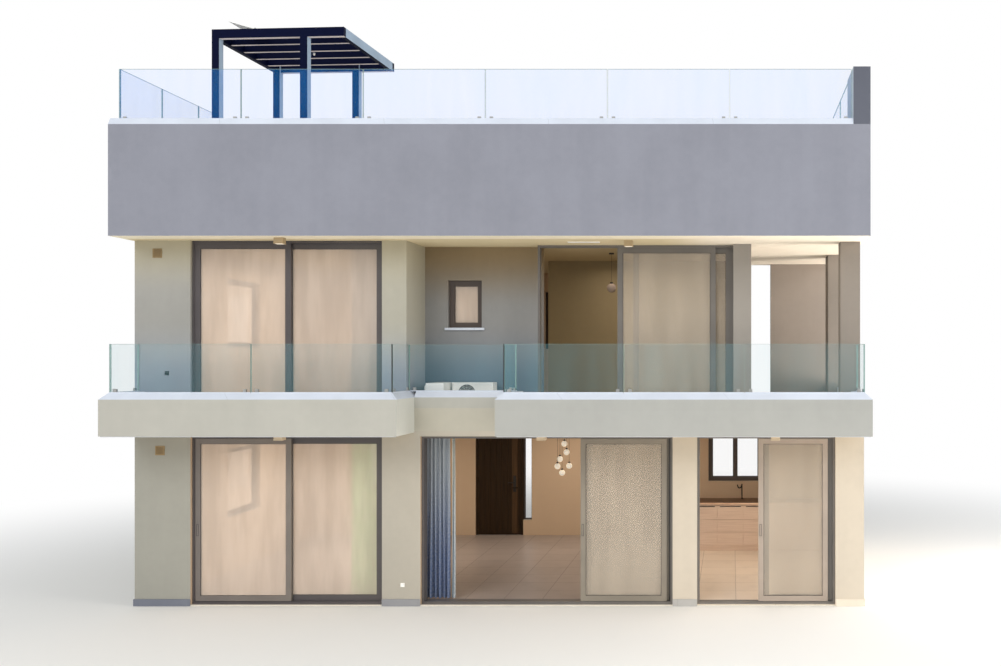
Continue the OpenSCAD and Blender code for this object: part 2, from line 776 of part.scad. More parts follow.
module roof_coping() {
    fin_end = fin_l - roof_out;
    color(white_colour)
        difference() {
            translate([0, front_y, fascia_z])
                linear_extrude(coping_h)
                    polygon([[lip_x - fascia_t, -roof_out],
                        [lip_x - fascia_t, fascia_t - roof_out],
                        [-lip_x + fascia_t, fascia_t - roof_out],
                        [-lip_x + fascia_t, main_d - fascia_t],
                        [bedroom_side_x - fascia_t, main_d - fascia_t],
                        [bedroom_side_x - fascia_t, terrace_d - fascia_t],
                        [lip_x - fascia_t, terrace_d - fascia_t],
                        [lip_x - fascia_t, fin_end], [lip_x, fin_end],
                        [lip_x, terrace_d], [bedroom_side_x, terrace_d],
                        [bedroom_side_x, main_d], [-lip_x, main_d], [-lip_x, -roof_out]]);
            front_slope(-lip_x, lip_x, -roof_out, fascia_z, roof_coping_z, roof_coping_slope);
            side_slope(-lip_x, -roof_out, main_d, fascia_z, roof_coping_z, roof_coping_slope, -1);
            side_slope(lip_x, -roof_out, terrace_d, fascia_z, roof_coping_z, roof_coping_slope, 1);
        }
}

module roof_fin() {
    color(fascia_colour)
        block(lip_x - fascia_t, lip_x, -roof_out, fin_l - roof_out, fascia_z, fascia_z + fin_h);
}

module roof_glass() {
    front_d = roof_guard_front_inset - roof_out;
    side = roof_guard_side_inset;
    right_end = lip_x - roof_guard_right_inset;
    corner = guard_t + guard_gap;
    rear_d = main_d - side - guard_t;
    wing_d = terrace_d - side - guard_t;
    step_x = bedroom_side_x - side - guard_t;
    z = roof_coping_z;
    h = roof_glass_h;
    color(glass_colour) {
        guard_row(-lip_x + side, lip_x - fascia_t - guard_gap, front_d, z, h, 6);
        side_guard_row(-lip_x + side, front_d + corner, rear_d - guard_gap, z, h, 6);
        guard_row(-lip_x + side, step_x + guard_t, rear_d, z, h, 6);
        side_guard_row(step_x, wing_d + corner, rear_d - guard_gap, z, h, 1);
        guard_row(step_x, right_end, wing_d, z, h, 1);
        side_guard_row(right_end - guard_t, fin_l - roof_out + guard_gap, wing_d - guard_gap,
            z, h, 3);
    }
}

// Places what is drawn in the pergola's own plan on the roof terrace
module on_pergola() {
    translate([pergola_x, front_y + pergola_d, deck_z])
        rotate([0, 0, -pergola_turn])
            children();
}

module pergola_columns() {
    color(navy_colour)
        on_pergola()
            for (x = [0, column_pitch], y = [0, pergola_l - column_w])
                translate([x, y, 0])
                    cube([column_w, column_w, pergola_h + beam_h]);
}

module pergola_beams() {
    free_l = pergola_l - 2 * beam_w - slat_n * slat_w;
    step = free_l / (slat_n + 1) + slat_w;
    free_end = column_pitch + column_w;
    color(navy_colour)
        on_pergola() {
            for (y = [0, pergola_l - beam_w]) {
                translate([column_w, y, pergola_h])
                    cube([column_pitch - column_w, beam_w, beam_h]);
                translate([free_end, y, pergola_h])
                    cube([pergola_w - free_end, beam_w, beam_h]);
            }
            for (i = [1 : slat_n])
                translate([beam_w, beam_w + i * step - slat_w, pergola_h + beam_h - slat_h])
                    cube([pergola_w - 2 * beam_w, slat_w, slat_h]);
        }
}

module pergola_side_beams() {
    color(navy_colour)
        on_pergola() {
            translate([0, column_w, pergola_h])
                cube([beam_w, pergola_l - 2 * column_w, beam_h]);
            translate([pergola_w - beam_w, beam_w, pergola_h])
                cube([beam_w, pergola_l - 2 * beam_w, beam_h]);
        }
}

module pergola_panel() {
    color(white_colour)
        on_pergola()
            translate([panel_x + panel_l, panel_y, pergola_h + beam_h])
                rotate([0, panel_tilt, 0])
                    translate([-panel_l, 0, 0])
                        cube([panel_l, panel_w, panel_t]);
}

// The outer frame of a sliding door with n tracks
module door_frame(x, w, face_d, z0, z1, n) {
    frame_ring(x, x + w, face_d, face_d + frame_depth(n), z0, z1, frame_w);
}

module ground_door_frames() {
    d = frame_setback;
    color(frame_colour) {
        door_frame(left_door_x, left_door_w, d, floor_z, head_z, 2);
        door_frame(living_x, living_w, d, floor_z, head_z, 3);
        door_frame(kitchen_x, kitchen_w, d, floor_z, head_z, 2);
        still_leaf_ring(leaf_right_x(left_door_x, left_door_w, 2) + leaf_gap,
            leaf_w(left_door_w, 2), track_d(d, 1), floor_z, head_z);
        still_leaf_ring(leaf_right_x(living_x, living_w, 3) + leaf_gap,
            leaf_w(living_w, 3), track_d(d, 2), floor_z, head_z);
        still_leaf_ring(leaf_right_x(kitchen_x, kitchen_w, 2) + leaf_gap,
            leaf_w(kitchen_w, 2), track_d(d, 1), floor_z, head_z);
    }
}

module upper_door_frames() {
    d = frame_setback;
    bed_d = bedroom_face_d + bedroom_setback;
    color(frame_colour) {
        door_frame(left_door_x, left_door_w, d, upper_z, soffit_z, 2);
        still_leaf_ring(left_door_x + frame_w, leaf_w(left_door_w, 2), track_d(d, 0),
            upper_z, soffit_z);
        still_leaf_ring(leaf_right_x(left_door_x, left_door_w, 2) + leaf_gap,
            leaf_w(left_door_w, 2), track_d(d, 1), upper_z, soffit_z);
        door_frame(bedroom_x, bedroom_w, bed_d, upper_z, soffit_z, 2);
        for (i = [0, 1])
            still_leaf_ring(bedroom_leaf_x(i), leaf_w(bedroom_w, 2), track_d(bed_d, i),
                upper_z, soffit_z);
    }
}

module window_frames() {
    z = floor_z + plain_sill_h;
    uz = upper_z + plain_sill_h;
    rear_d = main_d - wall_t / 2 - window_frame_d / 2;
    color(frame_colour) {
        window_frame(bath_x, bath_w, recess_d + (wall_t - window_frame_d) / 2,
            upper_z + bath_sill_h, bath_h, 1);
        window_frame(sink_window_x, sink_window_w, kitchen_d - (wall_t + window_frame_d) / 2,
            floor_z + sink_window_sill_h, sink_window_h, 2);
        window_frame(rear_window_left_x, plain_window_w, rear_d, z, plain_window_h, 2);
        for (x = [rear_window_left_x, rear_window_mid_x, rear_window_right_x])
            window_frame(x, plain_window_w, rear_d, uz, plain_window_h, 2);
        side_window_frame(left_x + (wall_t - window_frame_d) / 2, z);
        side_window_frame(left_x + (wall_t - window_frame_d) / 2, uz);
        side_window_frame(right_x - (wall_t + window_frame_d) / 2, z);
        frame_ring(entry_end, slot_end, rear_d, rear_d + window_frame_d,
            floor_z + slot_sill_h, entry_head_z, slot_frame_w);
    }
}

// The entry door's frame, with its share of the hinges
module entry_door_frame() {
    face_d = main_in_d + entry_inset;
    hinge_x = entry_x + entry_frame_w + leaf_gap / 2;
    color(frame_colour) {
        difference() {
            block(entry_x, entry_end, face_d, face_d + entry_t + entry_frame_w,
                floor_z, entry_head_z);
            block(entry_x + entry_frame_w, entry_end - entry_frame_w, face_d - cut,
                face_d + entry_t + entry_frame_w + cut, floor_z - cut, entry_head_z - entry_frame_w);
        }
        for (z = knuckle_heights()) {
            hinge_knuckle(hinge_x, face_d, z);
            block(hinge_x - hinge_plate_w, hinge_x - leaf_gap / 2,
                face_d - hinge_plate_t - knuckle_r, face_d + cut, z, z + knuckle_l);
        }
    }
}

// Heights of the fixed knuckles; the door's own knuckles stand on them
function knuckle_heights() = [floor_z + entry_h / 6, floor_z + entry_h / 2, floor_z + entry_h * 3 / 4];

module hinge_knuckle(x, face_d, z) {
    translate([x, front_y + face_d - knuckle_r - hinge_plate_t, z])
        cylinder(r = knuckle_r, h = knuckle_l, $fn = 32);
}

module entry_door() {
    face_d = main_in_d + entry_inset;
    door_x = entry_x + entry_frame_w + leaf_gap;
    door_end = entry_end - entry_frame_w - leaf_gap;
    hinge_x = door_x - leaf_gap / 2;
    grip_x = door_end - lever_in;
    grip_z = floor_z + lever_h;
    color([0.20, 0.12, 0.08]) {
        block(door_x, door_end, face_d, face_d + entry_t, floor_z + leaf_gap,
            entry_head_z - entry_frame_w - leaf_gap);
        for (z = knuckle_heights()) {
            hinge_knuckle(hinge_x, face_d, z + knuckle_l + runner_gap);
            block(door_x, hinge_x + hinge_plate_w, face_d - hinge_plate_t - knuckle_r, face_d + cut,
                z + knuckle_l + runner_gap, z + 2 * knuckle_l + runner_gap);
        }
        block(grip_x - lock_plate_w / 2, grip_x + lock_plate_w / 2, face_d - lock_plate_t,
            face_d + cut, grip_z - lock_plate_low, grip_z - lock_plate_low + lock_plate_h);
        translate([grip_x, front_y + face_d + cut, grip_z])
            rotate([90, 0, 0])
                cylinder(r = lever_r, h = lever_out + cut, $fn = 32);
        translate([grip_x + lever_r, front_y + face_d - lever_out, grip_z])
            rotate([0, -90, 0])
                cylinder(r = lever_r, h = lever_l, $fn = 32);
    }
}

module fixed_glass() {
    d = frame_setback;
    z = floor_z + plain_sill_h;
    uz = upper_z + plain_sill_h;
    rear_d = main_d - wall_t / 2 - window_frame_d / 2;
    color(glass_colour) {
        still_leaf_pane(leaf_right_x(left_door_x, left_door_w, 2) + leaf_gap,
            leaf_w(left_door_w, 2), track_d(d, 1), floor_z, head_z);
        still_leaf_pane(leaf_right_x(living_x, living_w, 3) + leaf_gap,
            leaf_w(living_w, 3), track_d(d, 2), floor_z, head_z);
        still_leaf_pane(leaf_right_x(kitchen_x, kitchen_w, 2) + leaf_gap,
            leaf_w(kitchen_w, 2), track_d(d, 1), floor_z, head_z);
        still_leaf_pane(left_door_x + frame_w, leaf_w(left_door_w, 2), track_d(d, 0),
            upper_z, soffit_z);
        still_leaf_pane(leaf_right_x(left_door_x, left_door_w, 2) + leaf_gap,
            leaf_w(left_door_w, 2), track_d(d, 1), upper_z, soffit_z);
        for (i = [0, 1])
            still_leaf_pane(bedroom_leaf_x(i), leaf_w(bedroom_w, 2),
                track_d(bedroom_face_d + bedroom_setback, i), upper_z, soffit_z);
        window_panes(bath_x, bath_w, recess_d + (wall_t - window_frame_d) / 2,
            upper_z + bath_sill_h, bath_h, 1);
        window_panes(sink_window_x, sink_window_w, kitchen_d - (wall_t + window_frame_d) / 2,
            floor_z + sink_window_sill_h, sink_window_h, 2);
        window_panes(rear_window_left_x, plain_window_w, rear_d, z, plain_window_h, 2);
        for (x = [rear_window_left_x, rear_window_mid_x, rear_window_right_x])
            window_panes(x, plain_window_w, rear_d, uz, plain_window_h, 2);
        side_window_pane(left_x + (wall_t - window_frame_d) / 2, z);
        side_window_pane(left_x + (wall_t - window_frame_d) / 2, uz);
        side_window_pane(right_x - (wall_t + window_frame_d) / 2, z);
        block(entry_end + slot_frame_w, slot_end - slot_frame_w, main_d - (wall_t + pane_t) / 2,
            main_d - (wall_t - pane_t) / 2, floor_z + slot_sill_h + slot_frame_w,
            entry_head_z - slot_frame_w);
    }
}

module left_leaf() {
    color(frame_colour)
        leaf_ring(leaf_left_x(left_door_x), leaf_w(left_door_w, 2), track_d(frame_setback, 0),
            floor_z, head_z, true);
}

module left_leaf_glass() {
    color(glass_colour)
        leaf_pane(leaf_left_x(left_door_x), leaf_w(left_door_w, 2), track_d(frame_setback, 0),
            floor_z, head_z);
}

module living_outer_leaf() {
    color(frame_colour)
        leaf_ring(leaf_right_x(living_x, living_w, 3) - 2 * living_stagger, leaf_w(living_w, 3),
            track_d(frame_setback, 0), floor_z, head_z, true);
}

module living_outer_glass() {
    color(glass_colour)
        leaf_pane(leaf_right_x(living_x, living_w, 3) - 2 * living_stagger, leaf_w(living_w, 3),
            track_d(frame_setback, 0), floor_z, head_z);
}

module living_middle_leaf() {
    color(frame_colour)
        leaf_ring(leaf_right_x(living_x, living_w, 3) - living_stagger, leaf_w(living_w, 3),
            track_d(frame_setback, 1), floor_z, head_z, true);
}

module living_middle_glass() {
    color(glass_colour)
        leaf_pane(leaf_right_x(living_x, living_w, 3) - living_stagger, leaf_w(living_w, 3),
            track_d(frame_setback, 1), floor_z, head_z);
}

module kitchen_leaf() {
    color(frame_colour)
        leaf_ring(leaf_right_x(kitchen_x, kitchen_w, 2) - kitchen_stagger, leaf_w(kitchen_w, 2),
            track_d(frame_setback, 0), floor_z, head_z, true);
}

module kitchen_leaf_glass() {
    color(glass_colour)
        leaf_pane(leaf_right_x(kitchen_x, kitchen_w, 2) - kitchen_stagger, leaf_w(kitchen_w, 2),
            track_d(frame_setback, 0), floor_z, head_z);
}

module air_conditioners() {
    back_d = recess_d - cooler_gap;
    z = upper_z + cooler_foot_h;
    cooler_a_x = block_x + cooler_in;
    cooler_b_x = cooler_a_x + cooler_l + cooler_between;
    color(white_colour) {
        block(cooler_a_x, cooler_a_x + cooler_l, upstand_t + cooler_gap,
            back_d, z, z + cooler_h);
        block(cooler_b_x, cooler_b_x + cooler_w, back_d - cooler_l, back_d, z, z + cooler_h);
        for (d = [upstand_t + cooler_gap, back_d - cooler_foot_h])
            block(cooler_a_x, cooler_a_x + cooler_l, d, d + cooler_foot_h, upper_z, z);
        for (x = [cooler_b_x, cooler_b_x + cooler_w - cooler_foot_h])
            block(x, x + cooler_foot_h, back_d - cooler_l, back_d, upper_z, z);
    }
}

module kitchen_counter() {
    color([0.85, 0.78, 0.68])
        block(wing_x, right_x - wall_t, kitchen_in_d - counter_l, kitchen_in_d,
            floor_z, floor_z + counter_h);
}

// One box lamp under a soffit, with the middle of its front
module box_lamp(x, d, z) {
    block(x - lamp_w / 2, x + lamp_w / 2, d, d + lamp_l, z - lamp_h, z);
}

module box_lamps() {
    left_lamp_x = left_door_x + left_door_w / 2 + left_lamp_shift;
    color(white_colour) {
        for (z = [balcony_z, soffit_z])
            box_lamp(left_lamp_x, -lamp_out, z);
        box_lamp(living_x + living_w / 2 + living_lamp_shift, -lamp_out, balcony_z);
        box_lamp(kitchen_x + kitchen_w / 2 + kitchen_lamp_shift, -lamp_out, balcony_z);
        box_lamp(bedroom_x + bedroom_w / 2 + bedroom_lamp_shift, -bedroom_lamp_out, soffit_z);
    }
}

module curtains() {
    d = wall_t + curtain_in;
    ground_top = ceiling_z - curtain_gap;
    upper_top = soffit_z - curtain_gap;
    color(curtain_colour) {
        block(living_x - drape_past, living_x - drape_past + drape_w, d, d + curtain_t,
            floor_z + curtain_rise, ground_top);
        block(left_door_end - sheer_w, left_door_end, d, d + curtain_t,
            floor_z + curtain_rise, ground_top);
        block(left_door_end - sheer_w, left_door_end - curtain_gap, d, d + curtain_t,
            upper_z + curtain_rise, upper_top);
    }
}

ground_slab();
upper_floor_slab();
balcony_slabs();
roof_slabs();
wall_skirting();
ground_front_piers();
ground_lintels();
ground_side_walls();
ground_rear_walls();
upper_block_walls();
upper_left_wall();
upper_rear_wall();
recess_wall();
bedroom_side_wall();
bedroom_back_wall();
terrace_back_wall();
terrace_pillars();
balcony_front_upstands();
balcony_end_upstands();
balcony_coping();
balcony_glass();
roof_fascia_front_rear();
roof_fascia_sides();
roof_coping();
roof_fin();
roof_glass();
pergola_columns();
pergola_beams();
pergola_side_beams();
pergola_panel();
ground_door_frames();
upper_door_frames();
window_frames();
entry_door_frame();
fixed_glass();
left_leaf();
left_leaf_glass();
living_outer_leaf();
living_outer_glass();
living_middle_leaf();
living_middle_glass();
kitchen_leaf();
kitchen_leaf_glass();
entry_door();
air_conditioners();
kitchen_counter();
box_lamps();
curtains();
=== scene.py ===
"""Looks of the beach house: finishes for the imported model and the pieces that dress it."""

import logging
import math
from collections.abc import Callable, Iterable, Iterator, Sequence
from contextlib import contextmanager
from dataclasses import dataclass, field
from enum import Enum
from functools import cached_property
from typing import Any

import bmesh
import bpy
from mathutils import Matrix, Vector


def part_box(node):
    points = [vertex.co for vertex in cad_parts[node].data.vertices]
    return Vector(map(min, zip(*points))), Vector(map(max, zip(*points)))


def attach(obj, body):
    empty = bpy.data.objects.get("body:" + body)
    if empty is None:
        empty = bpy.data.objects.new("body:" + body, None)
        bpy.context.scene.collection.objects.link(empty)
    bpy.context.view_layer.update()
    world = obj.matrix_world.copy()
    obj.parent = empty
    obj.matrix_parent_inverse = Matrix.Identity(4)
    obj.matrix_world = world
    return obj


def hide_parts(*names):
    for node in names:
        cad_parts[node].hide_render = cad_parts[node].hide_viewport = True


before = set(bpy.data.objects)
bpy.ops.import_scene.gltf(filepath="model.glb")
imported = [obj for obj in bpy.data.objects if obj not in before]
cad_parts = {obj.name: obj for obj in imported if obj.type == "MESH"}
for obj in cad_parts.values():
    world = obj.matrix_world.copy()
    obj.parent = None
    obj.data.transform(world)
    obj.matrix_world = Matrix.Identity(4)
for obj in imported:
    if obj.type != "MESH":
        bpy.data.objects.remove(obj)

log = logging.getLogger("beach_house")

Colour = tuple[float, float, float]
Point = Sequence[float]

HOUSE = "house"
DRAPE_SHARE = 0.85


class Axis(Enum):
    """The three directions of the house: along the front, into it, and up."""

    X = 0
    Y = 1
    Z = 2


def shade(red: float, green: float, blue: float) -> Colour:
    """Give the linear colour of a display colour.

    Args:
        red: Red part, from 0 to 255.
        green: Green part, from 0 to 255.
        blue: Blue part, from 0 to 255.

    Returns:
        The linear colour, its parts from 0 to 1.
    """

    def linear(part: float) -> float:
        """Undo the display curve for one part."""
        level = part / 255
        return level / 12.92 if level <= 0.04045 else ((level + 0.055) / 1.055) ** 2.4

    return linear(red), linear(green), linear(blue)


def scaled(colour: Colour, factor: float) -> Colour:
    """Give a colour that is lighter or darker by a factor."""
    return tuple(min(part * factor, 1.0) for part in colour)


@dataclass(frozen=True)
class Solid:
    """The box of one separate solid of a node."""

    low: Vector
    high: Vector

    @property
    def middle(self) -> Vector:
        """Centre of the box."""
        return (self.low + self.high) / 2

    @property
    def size(self) -> Vector:
        """Lengths of the box along the three axes."""
        return self.high - self.low

    @property
    def thin_axis(self) -> Axis:
        """The axis along which the box is thinnest."""
        return min(Axis, key=lambda axis: self.size[axis.value])


def solids_of(node: str) -> list[Solid]:
    """List the boxes of a node's separate solids, from left to right.

    Args:
        node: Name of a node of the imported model.

    Returns:
        One box for each island of the node's mesh.
    """
    shape = bmesh.new()
    shape.from_mesh(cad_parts[node].data)
    bmesh.ops.remove_doubles(shape, verts=shape.verts, dist=1e-5)
    waiting = set(shape.verts)
    found = []
    while waiting:
        island = {waiting.pop()}
        edge = list(island)
        while edge:
            vert = edge.pop()
            for link in vert.link_edges:
                other = link.other_vert(vert)
                if other not in island:
                    island.add(other)
                    edge.append(other)
        waiting -= island
        points = [vert.co for vert in island]
        low = Vector([min(point[i] for point in points) for i in range(3)])
        high = Vector([max(point[i] for point in points) for i in range(3)])
        found.append(Solid(low, high))
    shape.free()
    return sorted(found, key=lambda solid: tuple(round(value, 4) for value in solid.middle))


@dataclass(frozen=True)
class Datum:
    """The faces of the house that the pieces are set out from, in metres."""

    front: float
    rear: float
    left: float
    right: float
    recess: float
    ceiling: float
    soffit: float
    balcony_underside: float

    @classmethod
    def read(cls) -> "Datum":
        """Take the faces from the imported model.

        Returns:
            The faces.
        """
        return cls(
            front=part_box("ground_front_piers")[0].y,
            rear=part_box("ground_rear_walls")[1].y,
            left=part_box("ground_side_walls")[0].x,
            right=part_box("ground_side_walls")[1].x,
            recess=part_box("recess_wall")[0].y,
            ceiling=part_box("upper_floor_slab")[0].z,
            soffit=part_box("roof_fascia_sides")[0].z,
            balcony_underside=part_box("balcony_slabs")[0].z,
        )


class Wire:
    """An output of a shader node, with the sums that the finishes write on it."""

    def __init__(self, graph: "Graph", socket: bpy.types.NodeSocket) -> None:
        """Keep the graph and the output."""
        self.graph = graph
        self.socket = socket

    def _maths(self, operation: str, first: Any, second: Any) -> "Wire":
        """Add a Math node for two values."""
        return self.graph.node("ShaderNodeMath", {"operation": operation}, {0: first, 1: second})

    def __add__(self, other: Any) -> "Wire":
        """Add."""
        return self._maths("ADD", self, other)

    def __radd__(self, other: Any) -> "Wire":
        """Add, the number first."""
        return self._maths("ADD", other, self)

    def __sub__(self, other: Any) -> "Wire":
        """Subtract."""
        return self._maths("SUBTRACT", self, other)

    def __rsub__(self, other: Any) -> "Wire":
        """Subtract from a number."""
        return self._maths("SUBTRACT", other, self)

    def __mul__(self, other: Any) -> "Wire":
        """Multiply."""
        return self._maths("MULTIPLY", self, other)

    def __rmul__(self, other: Any) -> "Wire":
        """Multiply, the number first."""
        return self._maths("MULTIPLY", other, self)

    def either(self, other: "Wire") -> "Wire":
        """Give the larger of two values."""
        return self._maths("MAXIMUM", self, other)

    def above(self, limit: float) -> "Wire":
        """Give 1 where the value is over a limit, and 0 elsewhere."""
        return self._maths("GREATER_THAN", self, limit)

    def below(self, limit: float) -> "Wire":
        """Give 1 where the value is under a limit, and 0 elsewhere."""
        return self._maths("LESS_THAN", self, limit)

    def ramp(self, low: float, high: float) -> "Wire":
        """Rise smoothly from 0 at one value to 1 at another."""
        sockets = {0: self, 1: low, 2: high}
        return self.graph.node("ShaderNodeMapRange", {"interpolation_type": "SMOOTHSTEP"}, sockets)


@dataclass(frozen=True)
class Coat:
    """What one finish gives a surface: its colour, its roughness and its relief."""

    colour: Wire
    roughness: Wire | float
    height: Wire


class Graph:
    """The node tree of one material, or of the world."""

    def __init__(self, owner: bpy.types.Material | bpy.types.World) -> None:
        """Empty the tree.

        Args:
            owner: The material or the world whose tree it is.
        """
        owner.use_nodes = True
        self.owner = owner
        self.tree = owner.node_tree
        self.tree.nodes.clear()

    @classmethod
    def named(cls, name: str) -> "Graph":
        """Start a new material."""
        return cls(bpy.data.materials.new(name))

    @cached_property
    def place(self) -> Wire:
        """Place of the surface in the house's own coordinates."""
        return self.node("ShaderNodeTexCoord", out="Object")

    @cached_property
    def facing(self) -> Wire:
        """Direction in which the surface faces."""
        return self.node("ShaderNodeNewGeometry", out="Normal")

    def node(
        self,
        kind: str,
        settings: dict[str, Any] | None = None,
        sockets: dict[int | str, Any] | None = None,
        out: int | str = 0,
    ) -> Wire:
        """Add a node.

        Args:
            kind: The node's type.
            settings: Properties of the node, set before its sockets.
            sockets: Values or links for its inputs.
            out: The output that is handed back.

        Returns:
            The wanted output.
        """
        made = self.tree.nodes.new(kind)
        for name, value in (settings or {}).items():
            setattr(made, name, value)
        for key, value in (sockets or {}).items():
            if isinstance(value, Wire):
                self.tree.links.new(value.socket, made.inputs[key])
            else:
                made.inputs[key].default_value = value
        return Wire(self, made.outputs[out])

    def noise(self, scale: float, detail: float = 2.0, stretch: Point = (1, 1, 1)) -> Wire:
        """Give cloudy noise on the house's own coordinates.

        Args:
            scale: Cycles to the metre.
            detail: Number of finer layers.
            stretch: Factors on the three directions.

        Returns:
            The noise, round 0.5.
        """
        mapped = self.node("ShaderNodeMapping", {}, {"Vector": self.place, "Scale": tuple(stretch)})
        sockets = {"Vector": mapped, "Scale": scale, "Detail": detail}
        return self.node("ShaderNodeTexNoise", {}, sockets)

    def axis(self, vector: Wire, axis: Axis) -> Wire:
        """Give one part of a vector."""
        return self.node("ShaderNodeSeparateXYZ", {}, {0: vector}, out=axis.value)

    def blend(self, factor: Any, first: Any, second: Any) -> Wire:
        """Mix two colours.

        Args:
            factor: Share of the second colour.
            first: A colour or a wire.
            second: A colour or a wire.

        Returns:
            The mixed colour.
        """
        sides = [(*c, 1.0) if isinstance(c, tuple) and len(c) == 3 else c for c in (first, second)]
        sockets = {0: factor, 6: sides[0], 7: sides[1]}
        return self.node("ShaderNodeMix", {"data_type": "RGBA"}, sockets, out=2)

    def toned(self, colour: Any, factor: Any) -> Wire:
        """Make a colour lighter or darker by a factor that varies."""
        sockets = {0: colour, "Scale": factor}
        return self.node("ShaderNodeVectorMath", {"operation": "SCALE"}, sockets)

    def between(self, factor: Any, first: Any, second: Any) -> Wire:
        """Mix two numbers."""
        return self.node("ShaderNodeMix", {"data_type": "FLOAT"}, {0: factor, 2: first, 3: second})

    def choose(self, factor: Wire, first: Coat, second: Coat) -> Coat:
        """Lay the second coat over the first.

        Args:
            factor: 1 where the second coat shows, and 0 elsewhere.
            first: The coat below.
            second: The coat on top.

        Returns:
            The joined coat.
        """
        return Coat(
            self.blend(factor, first.colour, second.colour),
            self.between(factor, first.roughness, second.roughness),
            self.between(factor, first.height, second.height),
        )

    def looks_in(self) -> Wire:
        """Find the faces that look towards the middle of the house in plan.

        Returns:
            1 on those faces, and 0 elsewhere.
        """
        flat = self.node("ShaderNodeMapping", {}, {"Vector": self.place, "Scale": (1, 1, 0)})
        settings = {"operation": "DOT_PRODUCT"}
        towards = self.node("ShaderNodeVectorMath", settings, {0: self.facing, 1: flat}, "Value")
        return towards.below(-0.2)

    def finish(self, coat: Coat, relief: float, **sockets: Any) -> bpy.types.Material:
        """Join a coat to the shader.

        Args:
            coat: Colour, roughness and relief.
            relief: Depth of the relief in metres.
            **sockets: Plain values of other shader inputs, with _ for a space.

        Returns:
            The finished material.
        """
        self.close(self.shaded(coat, relief, **sockets))
        return self.owner

    def shaded(self, coat: Coat, relief: float, **sockets: Any) -> Wire:
        """Give the shader of a coat, not yet joined to the material's output.

        Args:
            coat: Colour, roughness and relief.
            relief: Depth of the relief in metres.
            **sockets: Plain values of other shader inputs, with _ for a space.

        Returns:
            The shader's output.
        """
        bump = self.node("ShaderNodeBump", {}, {"Distance": relief, "Height": coat.height})
        given = {"Base Color": coat.colour, "Roughness": coat.roughness, "Normal": bump}
        given.update({name.replace("_", " "): value for name, value in sockets.items()})
        return self.node("ShaderNodeBsdfPrincipled", {}, given)

    def close(self, shader: Wire, kind: str = "ShaderNodeOutputMaterial") -> None:
        """Link a shader to the output of the material or the world."""
        made = self.tree.nodes.new(kind)
        self.tree.links.new(shader.socket, made.inputs["Surface"])


def plaster(graph: Graph, colour: Colour | Wire, mottle: float = 0.05) -> Coat:
    """Painted render: clouds, trowel marks and a fine grain.

    Args:
        graph: The material's graph.
        colour: The paint.
        mottle: Share by which the colour wanders.

    Returns:
        The coat.
    """
    clouds = graph.noise(0.9, 3.0)
    streaks = graph.noise(1.0, 3.0, (5.0, 5.0, 0.35))
    trowel = graph.noise(9.0, 4.0)
    grain = graph.noise(240.0, 2.0)
    wander = clouds * 0.4 + streaks * 0.2 + trowel * 0.2 + grain * 0.2
    tone = graph.toned(colour, wander.ramp(0.33, 0.67) * (2 * mottle) + (1 - mottle))
    rough = trowel * 0.12 + 0.8
    return Coat(tone, rough, trowel * 0.35 + grain * 0.65)


def stone_tiles(graph: Graph, colour: Colour | Wire, side: float, sheen: float) -> Coat:
    """Square stone tiles with narrow joints.

    Args:
        graph: The material's graph.
        colour: The stone.
        side: Length of a tile in metres.
        sheen: Roughness of the stone.

    Returns:
        The coat.
    """
    settings = {"offset": 0.0, "squash": 1.0}
    sockets = {
        "Vector": graph.place,
        "Color1": (0.93, 0.93, 0.93, 1.0),
        "Color2": (1.0, 1.0, 1.0, 1.0),
        "Mortar": (0.58, 0.58, 0.58, 1.0),
        "Scale": 1.0,
        "Mortar Size": 0.004,
        "Mortar Smooth": 0.2,
        "Brick Width": side,
        "Row Height": side,
    }
    tiles = graph.node("ShaderNodeTexBrick", settings, sockets)
    joints = graph.node("ShaderNodeTexBrick", settings, sockets, out=1)
    veins = graph.noise(3.0, 6.0)
    pattern = graph.node("ShaderNodeVectorMath", {"operation": "MULTIPLY"}, {0: tiles, 1: colour})
    tone = graph.toned(pattern, 1.02 - veins.ramp(0.45, 0.75) * 0.06)
    rough = joints * 0.35 + veins * 0.1 + sheen
    return Coat(tone, rough, 1 - joints)


@dataclass(frozen=True)
class Fade:
    """A slow change of a paint into another along one direction of the house."""

    colour: Colour
    axis: Axis
    start: float
    end: float

    def over(self, graph: Graph, base: Colour | Wire) -> Wire:
        """Lay the change over a colour."""
        place = graph.axis(graph.place, self.axis)
        return graph.blend(place.ramp(self.start, self.end), base, self.colour)


def faded(graph: Graph, colour: Colour, fades: Sequence[Fade]) -> Colour | Wire:
    """Lay some slow changes over a paint, one after the other.

    Args:
        graph: The material's graph.
        colour: The paint.
        fades: The changes, in their order.

    Returns:
        The paint with its changes.
    """
    tone = colour
    for fade in fades:
        tone = fade.over(graph, tone)
    return tone


@dataclass(frozen=True)
class WallRender:
    """Painted render, with another colour on faces that look in and on faces below where these are
    given: indoor paint inside the walls, painted light on the lit ends of the boxes and the fin.
    """

    name: str
    colour: Colour
    inside: Colour | None = None
    under: Colour | None = None
    fades: tuple[Fade, ...] = ()
    under_fades: tuple[Fade, ...] = ()
    mottle: float = 0.05
    relief: float = 0.0012

    def make(self) -> bpy.types.Material:
        """Build the material.

        Returns:
            The finished material.
        """
        graph = Graph.named(self.name)
        coat = plaster(graph, faded(graph, self.colour, self.fades), self.mottle)
        # Faces that look in take the inside colour: indoor paint on walls, painted light on the lit
        # ends of the boxes and the fin.
        if self.inside is not None:
            coat = graph.choose(graph.looks_in(), coat, plaster(graph, self.inside, 0.02))
        if self.under is not None:
            down = graph.axis(graph.facing, Axis.Z).below(-0.5)
            ceiling = plaster(graph, faded(graph, self.under, self.under_fades), 0.02)
            coat = graph.choose(down, coat, ceiling)
        return graph.finish(coat, self.relief, Specular_IOR_Level=0.3)


